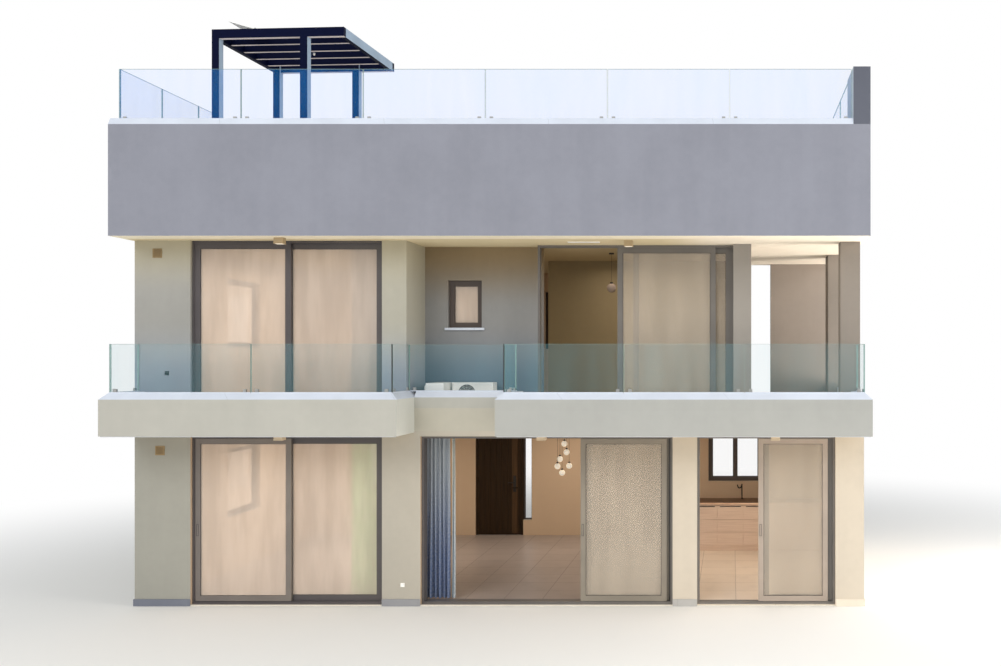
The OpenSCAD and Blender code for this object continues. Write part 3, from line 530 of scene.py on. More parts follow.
@dataclass(frozen=True)
class SlabFinish:
    """A floor slab: tiles on top, render on its edges and a painted ceiling below."""

    name: str
    tile: Colour
    edge: Colour
    under: Colour
    under_fades: tuple[Fade, ...] = ()
    tile_fades: tuple[Fade, ...] = ()
    edge_fades: tuple[Fade, ...] = ()
    edge_inside: Colour | None = None
    side: float = 0.6
    sheen: float = 0.35

    def make(self) -> bpy.types.Material:
        """Build the material.

        Returns:
            The finished material.
        """
        graph = Graph.named(self.name)
        upright = graph.axis(graph.facing, Axis.Z)
        coat = plaster(graph, faded(graph, self.edge, self.edge_fades), 0.05)
        # Edges that look in take edge_inside: on the balcony slab this is painted light on its lit
        # ends.
        if self.edge_inside is not None:
            coat = graph.choose(graph.looks_in(), coat, plaster(graph, self.edge_inside, 0.02))
        ceiling = plaster(graph, faded(graph, self.under, self.under_fades), 0.02)
        coat = graph.choose(upright.below(-0.5), coat, ceiling)
        tile = faded(graph, self.tile, self.tile_fades)
        tiles = stone_tiles(graph, tile, self.side, self.sheen)
        return graph.finish(graph.choose(upright.above(0.5), coat, tiles), 0.001)


@dataclass(frozen=True)
class WhiteStone:
    """Honed white stone of the copings, laid in lengths with fine joints."""

    name: str
    colour: Colour
    fades: tuple[Fade, ...] = ()
    length: float = 2.4

    def make(self) -> bpy.types.Material:
        """Build the material.

        Returns:
            The finished material.
        """
        graph = Graph.named(self.name)
        along = graph.axis(graph.place, Axis.X) + graph.axis(graph.place, Axis.Y)
        turn = graph.node("ShaderNodeMath", {"operation": "WRAP"}, {0: along, 1: self.length, 2: 0})
        joint = turn.below(0.003)
        clouds = graph.noise(2.2, 5.0)
        specks = graph.noise(160.0, 2.0)
        tint = (clouds * 0.7 + specks * 0.3).ramp(0.35, 0.65)
        shading = (tint * 0.09 + 0.94) * (1 - joint * 0.4)
        tone = graph.toned(faded(graph, self.colour, self.fades), shading)
        rough = specks * 0.15 + 0.45
        return graph.finish(Coat(tone, rough, specks * 0.4 - joint), 0.0008)


@dataclass(frozen=True)
class PaintedMetal:
    """Powder-coated metal with a fine orange-peel skin."""

    name: str
    colour: Colour
    roughness: float = 0.42
    metal: float = 0.0
    shine: float = 0.5
    fades: tuple[Fade, ...] = ()
    under: Colour | None = None
    sunlit: Colour | None = None
    sunlit_from: float = -2.9

    def make(self) -> bpy.types.Material:
        """Build the material.

        Returns:
            The finished material.
        """
        graph = Graph.named(self.name)
        peel = graph.noise(420.0, 1.0)
        dust = graph.noise(2.5, 4.0)
        tint = (dust * 0.7 + peel * 0.3).ramp(0.35, 0.65)
        base = faded(graph, self.colour, self.fades)
        # Down-facing faces take the under colour: on the slats this is painted light.
        if self.under is not None:
            base = graph.blend(graph.axis(graph.facing, Axis.Z).below(-0.7), base, self.under)
        # Faces turned to +X, beyond sunlit_from, take the sunlit colour: a painted highlight.
        if self.sunlit is not None:
            highlight_faces = graph.axis(graph.place, Axis.X).above(self.sunlit_from)
            highlight_faces = highlight_faces * graph.axis(graph.facing, Axis.X).above(0.7)
            base = graph.blend(highlight_faces, base, self.sunlit)
        tone = graph.toned(base, tint * 0.15 + 0.92)
        rough = dust * 0.16 + (self.roughness - 0.08)
        extra = {"Metallic": self.metal, "Specular_IOR_Level": self.shine}
        return graph.finish(Coat(tone, rough, peel), 0.0002, **extra)


@dataclass(frozen=True)
class ClearGlass:
    """Glass as a thin film of colour, clearer at the back of the house if asked: the glass's tint,
    and on the windows and the roof guard a painted reflection as well.
    """

    name: str
    film: Colour
    cover: float
    fades: tuple[Fade, ...] = ()
    rear_cover: float | None = None
    side_cover: float = 0.95
    roughness: float = 0.04

    def make(self) -> bpy.types.Material:
        """Build the material.

        Returns:
            The finished material.
        """
        graph = Graph.named(self.name)
        rain = graph.noise(1.4, 3.0, (3.0, 3.0, 0.5))
        base = faded(graph, self.film, self.fades)
        tone = graph.toned(base, rain.ramp(0.35, 0.65) * 0.12 + 0.93)
        rough = rain * 0.04 + self.roughness
        cover = rain * 0.06 + (self.cover - 0.03)
        if self.rear_cover is not None:
            behind = graph.axis(graph.place, Axis.Y).above(-1.0)
            cover = graph.between(behind, cover, self.rear_cover)
            across = graph.axis(graph.facing, Axis.X)
            sideways = (across * across).above(0.5)
            cover = graph.between(sideways, cover, self.side_cover)
        coat = Coat(tone, rough, graph.noise(0.7, 1.0))
        made = graph.finish(coat, 0.0003, Alpha=cover, IOR=1.5)
        made.surface_render_method = "BLENDED"
        return made


@dataclass(frozen=True)
class Timber:
    """Stained timber with its grain running up."""

    name: str
    dark: Colour
    light: Colour
    grain: Point = (60.0, 60.0, 1.6)
    roughness: float = 0.5

    def make(self) -> bpy.types.Material:
        """Build the material.

        Returns:
            The finished material.
        """
        graph = Graph.named(self.name)
        fibre = graph.noise(1.0, 5.0, self.grain)
        pores = graph.noise(3.0, 3.0, [4 * part for part in self.grain])
        tone = graph.blend((fibre * 0.7 + pores * 0.3).ramp(0.36, 0.64), self.dark, self.light)
        rough = pores * 0.2 + (self.roughness - 0.1)
        coat = Coat(tone, rough, fibre * 0.5 + pores * 0.5)
        return graph.finish(coat, 0.0006, Specular_IOR_Level=0.25)


@dataclass(frozen=True)
class Cloth:
    """Woven curtain cloth, its threads laid out in the piece's own flat size."""

    name: str
    colour: Colour
    foot: Colour
    threads: float = 900.0
    cover: float = 1.0

    def make(self) -> bpy.types.Material:
        """Build the material.

        Returns:
            The finished material.
        """
        graph = Graph.named(self.name)
        flat = graph.node("ShaderNodeUVMap", {"uv_map": "flat"})
        settings = {"wave_type": "BANDS", "bands_direction": "X"}
        warp = graph.node("ShaderNodeTexWave", settings, {"Vector": flat, "Scale": self.threads}, 1)
        settings = {"wave_type": "BANDS", "bands_direction": "Y"}
        weft = graph.node("ShaderNodeTexWave", settings, {"Vector": flat, "Scale": self.threads}, 1)
        slubs = graph.node("ShaderNodeTexNoise", {}, {"Vector": flat, "Scale": 30.0, "Detail": 4.0})
        weave = warp * 0.5 + weft * 0.5
        # Painted light: the colour turns towards the foot colour near the hem, standing in for
        # shade and reflection on the cloth.
        height = graph.axis(graph.place, Axis.Z)
        tone = graph.blend(height.ramp(2.4, 0.4), self.colour, self.foot)
        tone = graph.blend(slubs.ramp(0.4, 0.6) * 0.25, tone, scaled(self.colour, 1.25))
        tone = graph.blend(weave * 0.12, tone, scaled(self.foot, 0.6))
        coat = Coat(tone, slubs * 0.1 + 0.85, weave)
        extra = {"Alpha": self.cover} if self.cover < 1 else {}
        return graph.finish(coat, 0.0003, Sheen_Weight=0.3, **extra)


@dataclass(frozen=True)
class LitGlass:
    """Opal glass of a small lamp, softly lit from inside."""

    name: str
    colour: Colour
    glow: float

    def make(self) -> bpy.types.Material:
        """Build the material.

        Returns:
            The finished material.
        """
        graph = Graph.named(self.name)
        swirl = graph.noise(14.0, 3.0)
        tone = graph.blend(swirl, scaled(self.colour, 0.9), self.colour)
        coat = Coat(tone, swirl * 0.1 + 0.15, swirl)
        made = {"Emission_Color": tone, "Emission_Strength": self.glow}
        return graph.finish(coat, 0.0005, **made)


@dataclass(frozen=True)
class Palette:
    """Every finish of the house, made once."""

    wall: bpy.types.Material
    block_wall: bpy.types.Material
    upper_wall: bpy.types.Material
    recess: bpy.types.Material
    pier_shade: bpy.types.Material
    room_shade: bpy.types.Material
    terrace: bpy.types.Material
    pillar: bpy.types.Material
    fascia: bpy.types.Material
    fin: bpy.types.Material
    box: bpy.types.Material
    ground_floor: bpy.types.Material
    upper_slab: bpy.types.Material
    balcony_slab: bpy.types.Material
    roof_slab: bpy.types.Material
    stone: bpy.types.Material
    skirting: bpy.types.Material
    guard_glass: bpy.types.Material
    roof_guard_glass: bpy.types.Material
    glass_edge: bpy.types.Material
    window_glass: bpy.types.Material
    frames: bpy.types.Material
    leaves: bpy.types.Material
    window_frames: bpy.types.Material
    rubber: bpy.types.Material
    navy: bpy.types.Material
    navy_columns: bpy.types.Material
    navy_slats: bpy.types.Material
    navy_sunlit: bpy.types.Material
    white_metal: bpy.types.Material
    dark_metal: bpy.types.Material
    steel: bpy.types.Material
    vent: bpy.types.Material
    wood: bpy.types.Material
    pale_wood: bpy.types.Material
    cabinet: bpy.types.Material
    worktop: bpy.types.Material
    worktop_edge: bpy.types.Material
    blind: bpy.types.Material
    drape: bpy.types.Material
    sheer: bpy.types.Material
    grey_sheer: bpy.types.Material
    lining: bpy.types.Material
    globe: bpy.types.Material
    dull_globe: bpy.types.Material
    lamp: bpy.types.Material

    @classmethod
    def mix(cls) -> "Palette":
        """Make the finishes in the photo's colours."""
        wood = cls._woodwork()
        return cls(**cls._masonry(), **cls._metals(), **cls._glazing(), **cls._cloths(), **wood)

    @staticmethod
    def _masonry() -> dict[str, bpy.types.Material]:
        """Make the renders, the stone and the floors.

        Returns:
            The materials by their names in the palette.
        """
        tan = shade(196, 172, 146)
        cream = shade(236, 222, 196)
        box_paint = shade(174, 173, 166)
        # Painted light: the boxes' faces that look towards the middle of the house, their lit ends,
        # are painted paler.
        box_painted_lit_side = shade(204, 205, 198)
        box_under = shade(214, 196, 164)
        soffit = shade(226, 211, 175)
        # Painted light on the soffits: darker deeper under the roof, paler along the front edge and
        # over the terrace.
        soffit_painted_light = (
            Fade(shade(186, 168, 130), Axis.Y, -2.1, -1.5),
            Fade(shade(250, 240, 216), Axis.Y, -2.84, -2.94),
            Fade(shade(255, 244, 226), Axis.X, 2.4, 3.4),
        )
        # Painted shade: the ground-floor walls darken to the left, where they stand in shade under
        # the balcony.
        painted_shade_left = Fade(shade(153, 152, 144), Axis.X, 3.4, -5.8)
        block_left = Fade(shade(155, 154, 150), Axis.X, -1.6, -4.8)
        # Painted light: warm bounced light towards the top and cool sky light towards the foot of
        # the upper block and the recess wall.
        painted_warm_light_top = Fade(shade(174, 167, 146), Axis.Z, 4.7, 5.6)
        painted_sky_light_foot = Fade(shade(148, 156, 168), Axis.Z, 4.4, 3.3)
        painted_recess_warm_light = Fade(shade(140, 122, 94), Axis.Z, 4.5, 5.5)
        painted_recess_sky_light = Fade(shade(104, 118, 134), Axis.Z, 4.4, 3.3)
        box_right = Fade(shade(162, 163, 160), Axis.X, -0.1, 0.2)
        # Painted shade and light on the skirting: darker and bluer to the left, paler to the right.
        painted_shade_foot_left = Fade(shade(108, 113, 126), Axis.X, 3.4, -5.8)
        painted_light_foot_right = Fade(shade(222, 212, 196), Axis.X, 3.6, 5.2)
        # Painted light: the kitchen's floor tiles are painted paler where the room is brighter.
        painted_light_kitchen_tile = Fade(shade(238, 222, 204), Axis.X, 2.6, 2.9)
        return {
            # The ground-floor walls, the upper block and the upper walls share one render; their
            # different base colours are painted light and shade.
            "wall": WallRender(
                "warm_render", shade(199, 189, 174), inside=tan, under=cream, fades=(painted_shade_left,)
            ).make(),
            "block_wall": WallRender(
                "block_render", shade(168, 165, 153), fades=(block_left, painted_warm_light_top, painted_sky_light_foot)
            ).make(),
            "upper_wall": WallRender("pale_render", shade(186, 182, 168), inside=tan).make(),
            "recess": WallRender(
                "recess_render", shade(142, 142, 142), fades=(painted_recess_warm_light, painted_recess_sky_light), mottle=0.06
            ).make(),
            "pier_shade": WallRender("pier_render", shade(149, 144, 138)).make(),
            "room_shade": WallRender("room_render", shade(162, 145, 112)).make(),
            "terrace": WallRender("terrace_render", shade(151, 141, 132)).make(),
            "pillar": WallRender("pillar_render", shade(137, 129, 121)).make(),
            "fascia": WallRender(
                "grey_render",
                shade(138, 140, 151),
                under=soffit,
                under_fades=soffit_painted_light,
                mottle=0.07,
                relief=0.0016,
            ).make(),
            # Painted light: the fin's side face, which looks towards the middle of the house, is
            # painted paler as lit.
            "fin": WallRender("fin_render", shade(96, 99, 110), inside=shade(186, 198, 206)).make(),
            "box": WallRender(
                "box_render",
                box_paint,
                inside=box_painted_lit_side,
                under=box_under,
                fades=(box_right,),
            ).make(),
            "ground_floor": SlabFinish(
                "ground_tiles",
                shade(156, 144, 137),
                shade(214, 208, 196),
                cream,
                tile_fades=(painted_light_kitchen_tile,),
            ).make(),
            "upper_slab": SlabFinish(
                "upper_tiles", shade(196, 184, 168), shade(180, 176, 163), shade(240, 232, 216)
            ).make(),
            "balcony_slab": SlabFinish(
                "balcony_tiles",
                shade(204, 200, 192),
                box_paint,
                box_under,
                edge_fades=(box_right,),
                edge_inside=box_painted_lit_side,
            ).make(),
            "roof_slab": SlabFinish(
                "roof_tiles", shade(196, 192, 184), shade(138, 140, 151), soffit, soffit_painted_light
            ).make(),
            "stone": WhiteStone("white_coping_stone", shade(206, 213, 226)).make(),
            # The skirting is the white coping stone painted greyer, as in shade.
            "skirting": WhiteStone(
                "skirting_stone", shade(174, 172, 169), (painted_shade_foot_left, painted_light_foot_right)
            ).make(),
        }

    @staticmethod
    def _metals() -> dict[str, bpy.types.Material]:
        """Make the coated metals.

        Returns:
            The materials by their names in the palette.
        """
        # Painted shade: the door frames darken to the left, where they stand in shade.
        painted_shade_frames_left = Fade(shade(76, 71, 73), Axis.X, 3.0, -4.0)
        # Painted light and shade on the sliding leaves: the paler coat is the frame colour as lit,
        # darkening to the left into shade.
        painted_shade_leaves_middle = Fade(shade(134, 126, 114), Axis.X, 4.2, 2.4)
        painted_shade_leaves_left = Fade(shade(108, 101, 98), Axis.X, 1.0, -5.5)
        # Painted shade: the upper lamps are painted darker than the same lamps below.
        painted_shade_upper_lamps = Fade(shade(168, 148, 116), Axis.Z, 3.0, 4.0)
        navy = shade(2, 8, 40)
        # Painted highlight: pale sky colour laid on the pergola's faces that look to +X.
        sky = shade(170, 188, 206)
        return {
            "glass_edge": PaintedMetal("polished_glass_edge", shade(140, 168, 162), 0.2).make(),
            "frames": PaintedMetal(
                "taupe_frame_coat", shade(112, 108, 104), fades=(painted_shade_frames_left,)
            ).make(),
            "leaves": PaintedMetal(
                "pale_leaf_coat", shade(168, 154, 142), fades=(painted_shade_leaves_middle, painted_shade_leaves_left)
            ).make(),
            "window_frames": PaintedMetal("brown_window_coat", shade(78, 68, 63)).make(),
            "rubber": PaintedMetal("dark_gasket", shade(48, 45, 45), 0.7).make(),
            "navy": PaintedMetal("navy_coat", navy, 0.6, shine=0.1).make(),
            "navy_columns": PaintedMetal(
                "navy_column_coat", navy, 0.6, shine=0.1, sunlit=sky, sunlit_from=-9.0
            ).make(),
            # Painted light: the slats' down-facing faces are painted pale, as lit from below.
            "navy_slats": PaintedMetal(
                "navy_slat_coat", navy, 0.6, shine=0.1, under=shade(252, 238, 232)
            ).make(),
            "navy_sunlit": PaintedMetal(
                "navy_sunlit_coat", navy, 0.6, shine=0.1, sunlit=sky
            ).make(),
            "white_metal": PaintedMetal("white_coat", shade(250, 249, 246), 0.4).make(),
            "dark_metal": PaintedMetal("dark_coat", shade(36, 33, 32), 0.45).make(),
            "steel": PaintedMetal("brushed_steel", shade(176, 176, 174), 0.3, 1.0).make(),
            "vent": PaintedMetal("brown_vent_coat", shade(150, 128, 92), 0.6).make(),
            "lamp": PaintedMetal(
                "lamp_coat", shade(206, 190, 166), 0.5, fades=(painted_shade_upper_lamps,)
            ).make(),
        }

    @staticmethod
    def _glazing() -> dict[str, bpy.types.Material]:
        """Make the clear glass and the lamps' opal glass.

        Returns:
            The materials by their names in the palette.
        """
        # Painted reflection: the window film is partly the glass's own tint and partly a painted
        # pale reflection, paler still to the left.
        painted_reflection_left = Fade(shade(240, 223, 208), Axis.X, 0.4, -0.8)
        return {
            "guard_glass": ClearGlass("guard_glass", shade(110, 172, 184), 0.07).make(),
            # The roof glass's strong blue film is partly its tint and partly a painted sky
            # reflection.
            "roof_guard_glass": ClearGlass("roof_guard_glass", shade(40, 150, 250), 0.09).make(),
            "window_glass": ClearGlass(
                "window_glass", shade(200, 188, 172), 0.36, (painted_reflection_left,), 0.04
            ).make(),
            "globe": LitGlass("opal_globe", shade(255, 246, 228), 0.4).make(),
            "dull_globe": LitGlass("dull_globe", shade(168, 150, 138), 0.0).make(),
        }

    @staticmethod
    def _woodwork() -> dict[str, bpy.types.Material]:
        """Make the timbers and boards.

        Returns:
            The materials by their names in the palette.
        """
        board = (1.6, 60.0, 60.0)
        top = (2.0, 30.0, 30.0)
        return {
            "wood": Timber("entry_wood", shade(34, 22, 10), shade(50, 34, 17)).make(),
            "pale_wood": Timber("stile_wood", shade(64, 46, 28), shade(80, 58, 36)).make(),
            "cabinet": Timber(
                "cabinet_board", shade(232, 208, 190), shade(246, 224, 206), board
            ).make(),
            "worktop": Timber(
                "worktop_board", shade(80, 56, 40), shade(104, 76, 56), top, 0.4
            ).make(),
            "worktop_edge": Timber(
                "worktop_edge_board", shade(244, 208, 178), shade(254, 228, 200), top
            ).make(),
        }

    @staticmethod
    def _cloths() -> dict[str, bpy.types.Material]:
        """Make the curtain cloths.

        Returns:
            The materials by their names in the palette.
        """
        return {
            "blind": Cloth("blind_cloth", shade(255, 236, 220), shade(255, 236, 220), 500).make(),
            "drape": Cloth("drape_cloth", shade(168, 174, 180), shade(92, 110, 150)).make(),
            # Painted light: both sheers are one green-grey cloth, the ground-floor one painted
            # brighter and greener, the upper one darker.
            "sheer": Cloth(
                "sheer_cloth", shade(172, 240, 150), shade(154, 222, 130), 700, 0.9
            ).make(),
            "grey_sheer": Cloth(
                "grey_sheer_cloth", shade(66, 74, 86), shade(60, 68, 80), 700, 0.9
            ).make(),
            "lining": Cloth("lining_cloth", shade(214, 216, 210), shade(170, 186, 200), 700).make(),
        }


def release() -> None:
    """Deselect everything, so that the next operator acts on its own piece."""
    for thing in bpy.context.selected_objects:
        thing.select_set(False)


class Form:
    """One mesh piece, shaped in edit mode with a modeller's operators."""

    def __init__(self, name: str) -> None:
        """Take over the object that was just added, and settle its place into its mesh.

        Args:
            name: Name of the piece and of its mesh.
        """
        self.thing = bpy.context.object
        self.thing.name = name
        self.thing.data.name = name
        bpy.ops.object.transform_apply(location=True, rotation=True, scale=True)

    @classmethod
    def block(cls, name: str, low: Point, high: Point) -> "Form":
        """Start from a box.

        Args:
            name: Name of the piece.
            low: Its corner nearest the front, the left and the ground.
            high: The opposite corner.

        Returns:
            The box, ready to be shaped.
        """
        release()
        middle = [(a + b) / 2 for a, b in zip(low, high)]
        size = [b - a for a, b in zip(low, high)]
        bpy.ops.mesh.primitive_cube_add(size=1, location=middle, scale=size)
        return cls(name)

    @classmethod
    def rod(
        cls, name: str, middle: Point, radius: float, length: float, axis: Axis, sides: int = 16
    ) -> "Form":
        """Start from a round rod.

        Args:
            name: Name of the piece.
            middle: Centre of the rod.
            radius: Its radius.
            length: Its length.
            axis: Direction it lies in.
            sides: Number of its flat sides.

        Returns:
            The rod, ready to be shaped.
        """
        release()
        turn = {Axis.X: (0, math.pi / 2, 0), Axis.Y: (math.pi / 2, 0, 0), Axis.Z: (0, 0, 0)}[axis]
        bpy.ops.mesh.primitive_cylinder_add(
            vertices=sides, radius=radius, depth=length, location=middle, rotation=turn
        )
        return cls(name)

    @classmethod
    def ball(cls, name: str, middle: Point, radius: float, rings: int = 14) -> "Form":
        """Start from a ball.

        Args:
            name: Name of the piece.
            middle: Centre of the ball.
            radius: Its radius.
            rings: Rows of faces from pole to pole.

        Returns:
            The ball, ready to be shaped.
        """
        release()
        bpy.ops.mesh.primitive_uv_sphere_add(
            segments=2 * rings, ring_count=rings, radius=radius, location=middle
        )
        return cls(name)

    @classmethod
    def hoop(cls, name: str, middle: Point, radius: float, wire: float, axis: Axis) -> "Form":
        """Start from a ring of round wire.

        Args:
            name: Name of the piece.
            middle: Centre of the ring.
            radius: Radius to the middle of the wire.
            wire: Radius of the wire.
            axis: Direction of the ring's axle.

        Returns:
            The ring, ready to be shaped.
        """
        release()
        turn = {Axis.X: (0, math.pi / 2, 0), Axis.Y: (math.pi / 2, 0, 0), Axis.Z: (0, 0, 0)}[axis]
        bpy.ops.mesh.primitive_torus_add(
            major_radius=radius,
            minor_radius=wire,
            major_segments=28,
            minor_segments=6,
            location=middle,
            rotation=turn,
        )
        return cls(name)

    @contextmanager
    def editing(self) -> Iterator[None]:
        """Work on the piece in edit mode, with nothing selected at first.

        Yields:
            Nothing; the piece is back in object mode afterwards.
        """
        release()
        self.thing.select_set(True)
        bpy.context.view_layer.objects.active = self.thing
        bpy.ops.object.mode_set(mode="EDIT")
        bpy.ops.mesh.select_mode(type="FACE")
        bpy.ops.mesh.select_all(action="DESELECT")
        yield
        bpy.ops.object.mode_set(mode="OBJECT")

    def pick(self, test: Callable[[Vector, Vector], bool]) -> None:
        """Select some faces and no others.

        Args:
            test: Says of a face's centre and normal whether it is wanted.
        """
        bpy.ops.mesh.select_all(action="DESELECT")
        cage = bmesh.from_edit_mesh(self.thing.data)
        for face in cage.faces:
            if test(face.calc_center_median(), face.normal):
                face.select_set(True)
        cage.select_flush_mode()
        bmesh.update_edit_mesh(self.thing.data)

    def round_edges(self, width: float, segments: int = 2) -> "Form":
        """Round the sharp edges.

        Args:
            width: Width of the rounding.
            segments: Faces across it.

        Returns:
            The piece itself.
        """
        release()
        self.thing.select_set(True)
        bpy.context.view_layer.objects.active = self.thing
        bpy.ops.object.modifier_add(type="BEVEL")
        bevel = self.thing.modifiers[-1]
        bevel.width = width
        bevel.segments = segments
        bevel.limit_method = "ANGLE"
        bpy.ops.object.modifier_apply(modifier=bevel.name)
        return self

    def smooth(self, degrees: float = 40) -> "Form":
        """Shade the piece smooth.

        Args:
            degrees: Largest angle between two faces that is still smoothed.

        Returns:
            The piece itself.
        """
        release()
        self.thing.select_set(True)
        bpy.context.view_layer.objects.active = self.thing
        bpy.ops.object.shade_smooth_by_angle(angle=math.radians(degrees))
        return self

    def opened(self, width: float, axis: Axis) -> "Form":
        """Turn a box into an open frame.

        Args:
            width: Sight width of the frame.
            axis: Direction in which one looks through it.

        Returns:
            The piece itself.
        """
        with self.editing():
            self.pick(lambda centre, normal: abs(normal[axis.value]) > 0.9)
            bpy.ops.mesh.inset(thickness=width, use_individual=True)
            bpy.ops.mesh.bridge_edge_loops()
        return self

    def sunk(self, test: Callable[[Vector, Vector], bool], rim: float, depth: float) -> "Form":
        """Sink some faces, leaving a rim round each.

        Args:
            test: Says of a face's centre and normal whether it is wanted.
            rim: Width of the rim.
            depth: How far the faces go in.

        Returns:
            The piece itself.
        """
        with self.editing():
            self.pick(test)
            bpy.ops.mesh.inset(thickness=rim, use_individual=True)
            bpy.ops.mesh.inset(thickness=rim / 8, depth=-depth, use_individual=True)
        return self

    def placed(self, place: Matrix) -> "Form":
        """Move the mesh itself."""
        self.thing.data.transform(place)
        return self

    def copies(self, name: str, places: Iterable[Matrix]) -> "Form":
        """Put a copy with its own mesh at each place, join them and drop the model.

        Args:
            name: Name of the joined piece.
            places: Where each copy goes from the model's place.

        Returns:
            The joined piece.
        """
        made = []
        for place in places:
            twin = self.thing.copy()
            twin.data = self.thing.data.copy()
            twin.data.transform(place)
            bpy.context.scene.collection.objects.link(twin)
            made.append(twin)
        bpy.data.objects.remove(self.thing)
        return Form.joined(name, made)

    @staticmethod
    def joined(name: str, things: Sequence[bpy.types.Object]) -> "Form":
        """Join objects into one piece.

        Args:
            name: Name of the joined piece.
            things: The objects.

        Returns:
            The joined piece.
        """
        release()
        for thing in things:
            thing.select_set(True)
        bpy.context.view_layer.objects.active = things[0]
        if len(things) > 1:
            bpy.ops.object.join()
        return Form(name)

    def dress(self, finish: bpy.types.Material, slot: str, body: str = HOUSE) -> "Form":
        """Finish the piece.

        Args:
            finish: Its material.
            slot: Kind of surface it counts as; not used.
            body: Moving part that it rides on.

        Returns:
            The piece itself.
        """
        self.thing.data.materials.clear()
        self.thing.data.materials.append(finish)
        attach(self.thing, body)
        log.info("%s: %d faces", self.thing.name, len(self.thing.data.polygons))
        return self


def at(x: float, y: float, z: float) -> Matrix:
    """Give a move by three lengths."""
    return Matrix.Translation((x, y, z))


@dataclass(frozen=True)
class PhotoCamera:
    """The photo's camera: level, square to the front, with its view shifted."""

    width: float = 1001.0
    height: float = 666.0
    focal: float = 1000.0
    aim_x: float = 731.5
    aim_y: float = 358.0
    sensor: float = 36.0
    distance: float = 15.15
    x: float = 3.532
    z: float = 3.758

    def make(self, datum: Datum) -> None:
        """Place the camera in front of the house.

        Args:
            datum: The faces of the house.
        """
        data = bpy.data.cameras.new("photo_camera")
        data.sensor_width = self.sensor
        data.lens = self.sensor * self.focal / self.width
        data.shift_x = (self.width / 2 - self.aim_x) / self.width
        data.shift_y = (self.aim_y - self.height / 2) / self.width
        data.clip_end = 500
        thing = bpy.data.objects.new("photo_camera", data)
        thing.location = (self.x, datum.front - self.distance, self.z)
        thing.rotation_euler = (math.pi / 2, 0, 0)
        bpy.context.scene.collection.objects.link(thing)
        bpy.context.scene.camera = thing


@dataclass(frozen=True)
class SoftLight:
    """One rectangular lamp that shines from a place towards another."""

    name: str
    place: Point
    target: Point
    width: float
    depth: float
    power: float
    colour: Colour = (1.0, 1.0, 1.0)

    def make(self) -> None:
        """Hang the lamp."""
        data = bpy.data.lights.new(self.name, "AREA")
        data.shape = "RECTANGLE"
        data.size = self.width
        data.size_y = self.depth
        data.energy = self.power
        data.color = self.colour
        thing = bpy.data.objects.new(self.name, data)
        thing.location = self.place
        thing.visible_camera = False
        thing.visible_glossy = False
        aim = Vector(self.target) - Vector(self.place)
        thing.rotation_euler = aim.to_track_quat("-Z", "Y").to_euler()
        bpy.context.scene.collection.objects.link(thing)


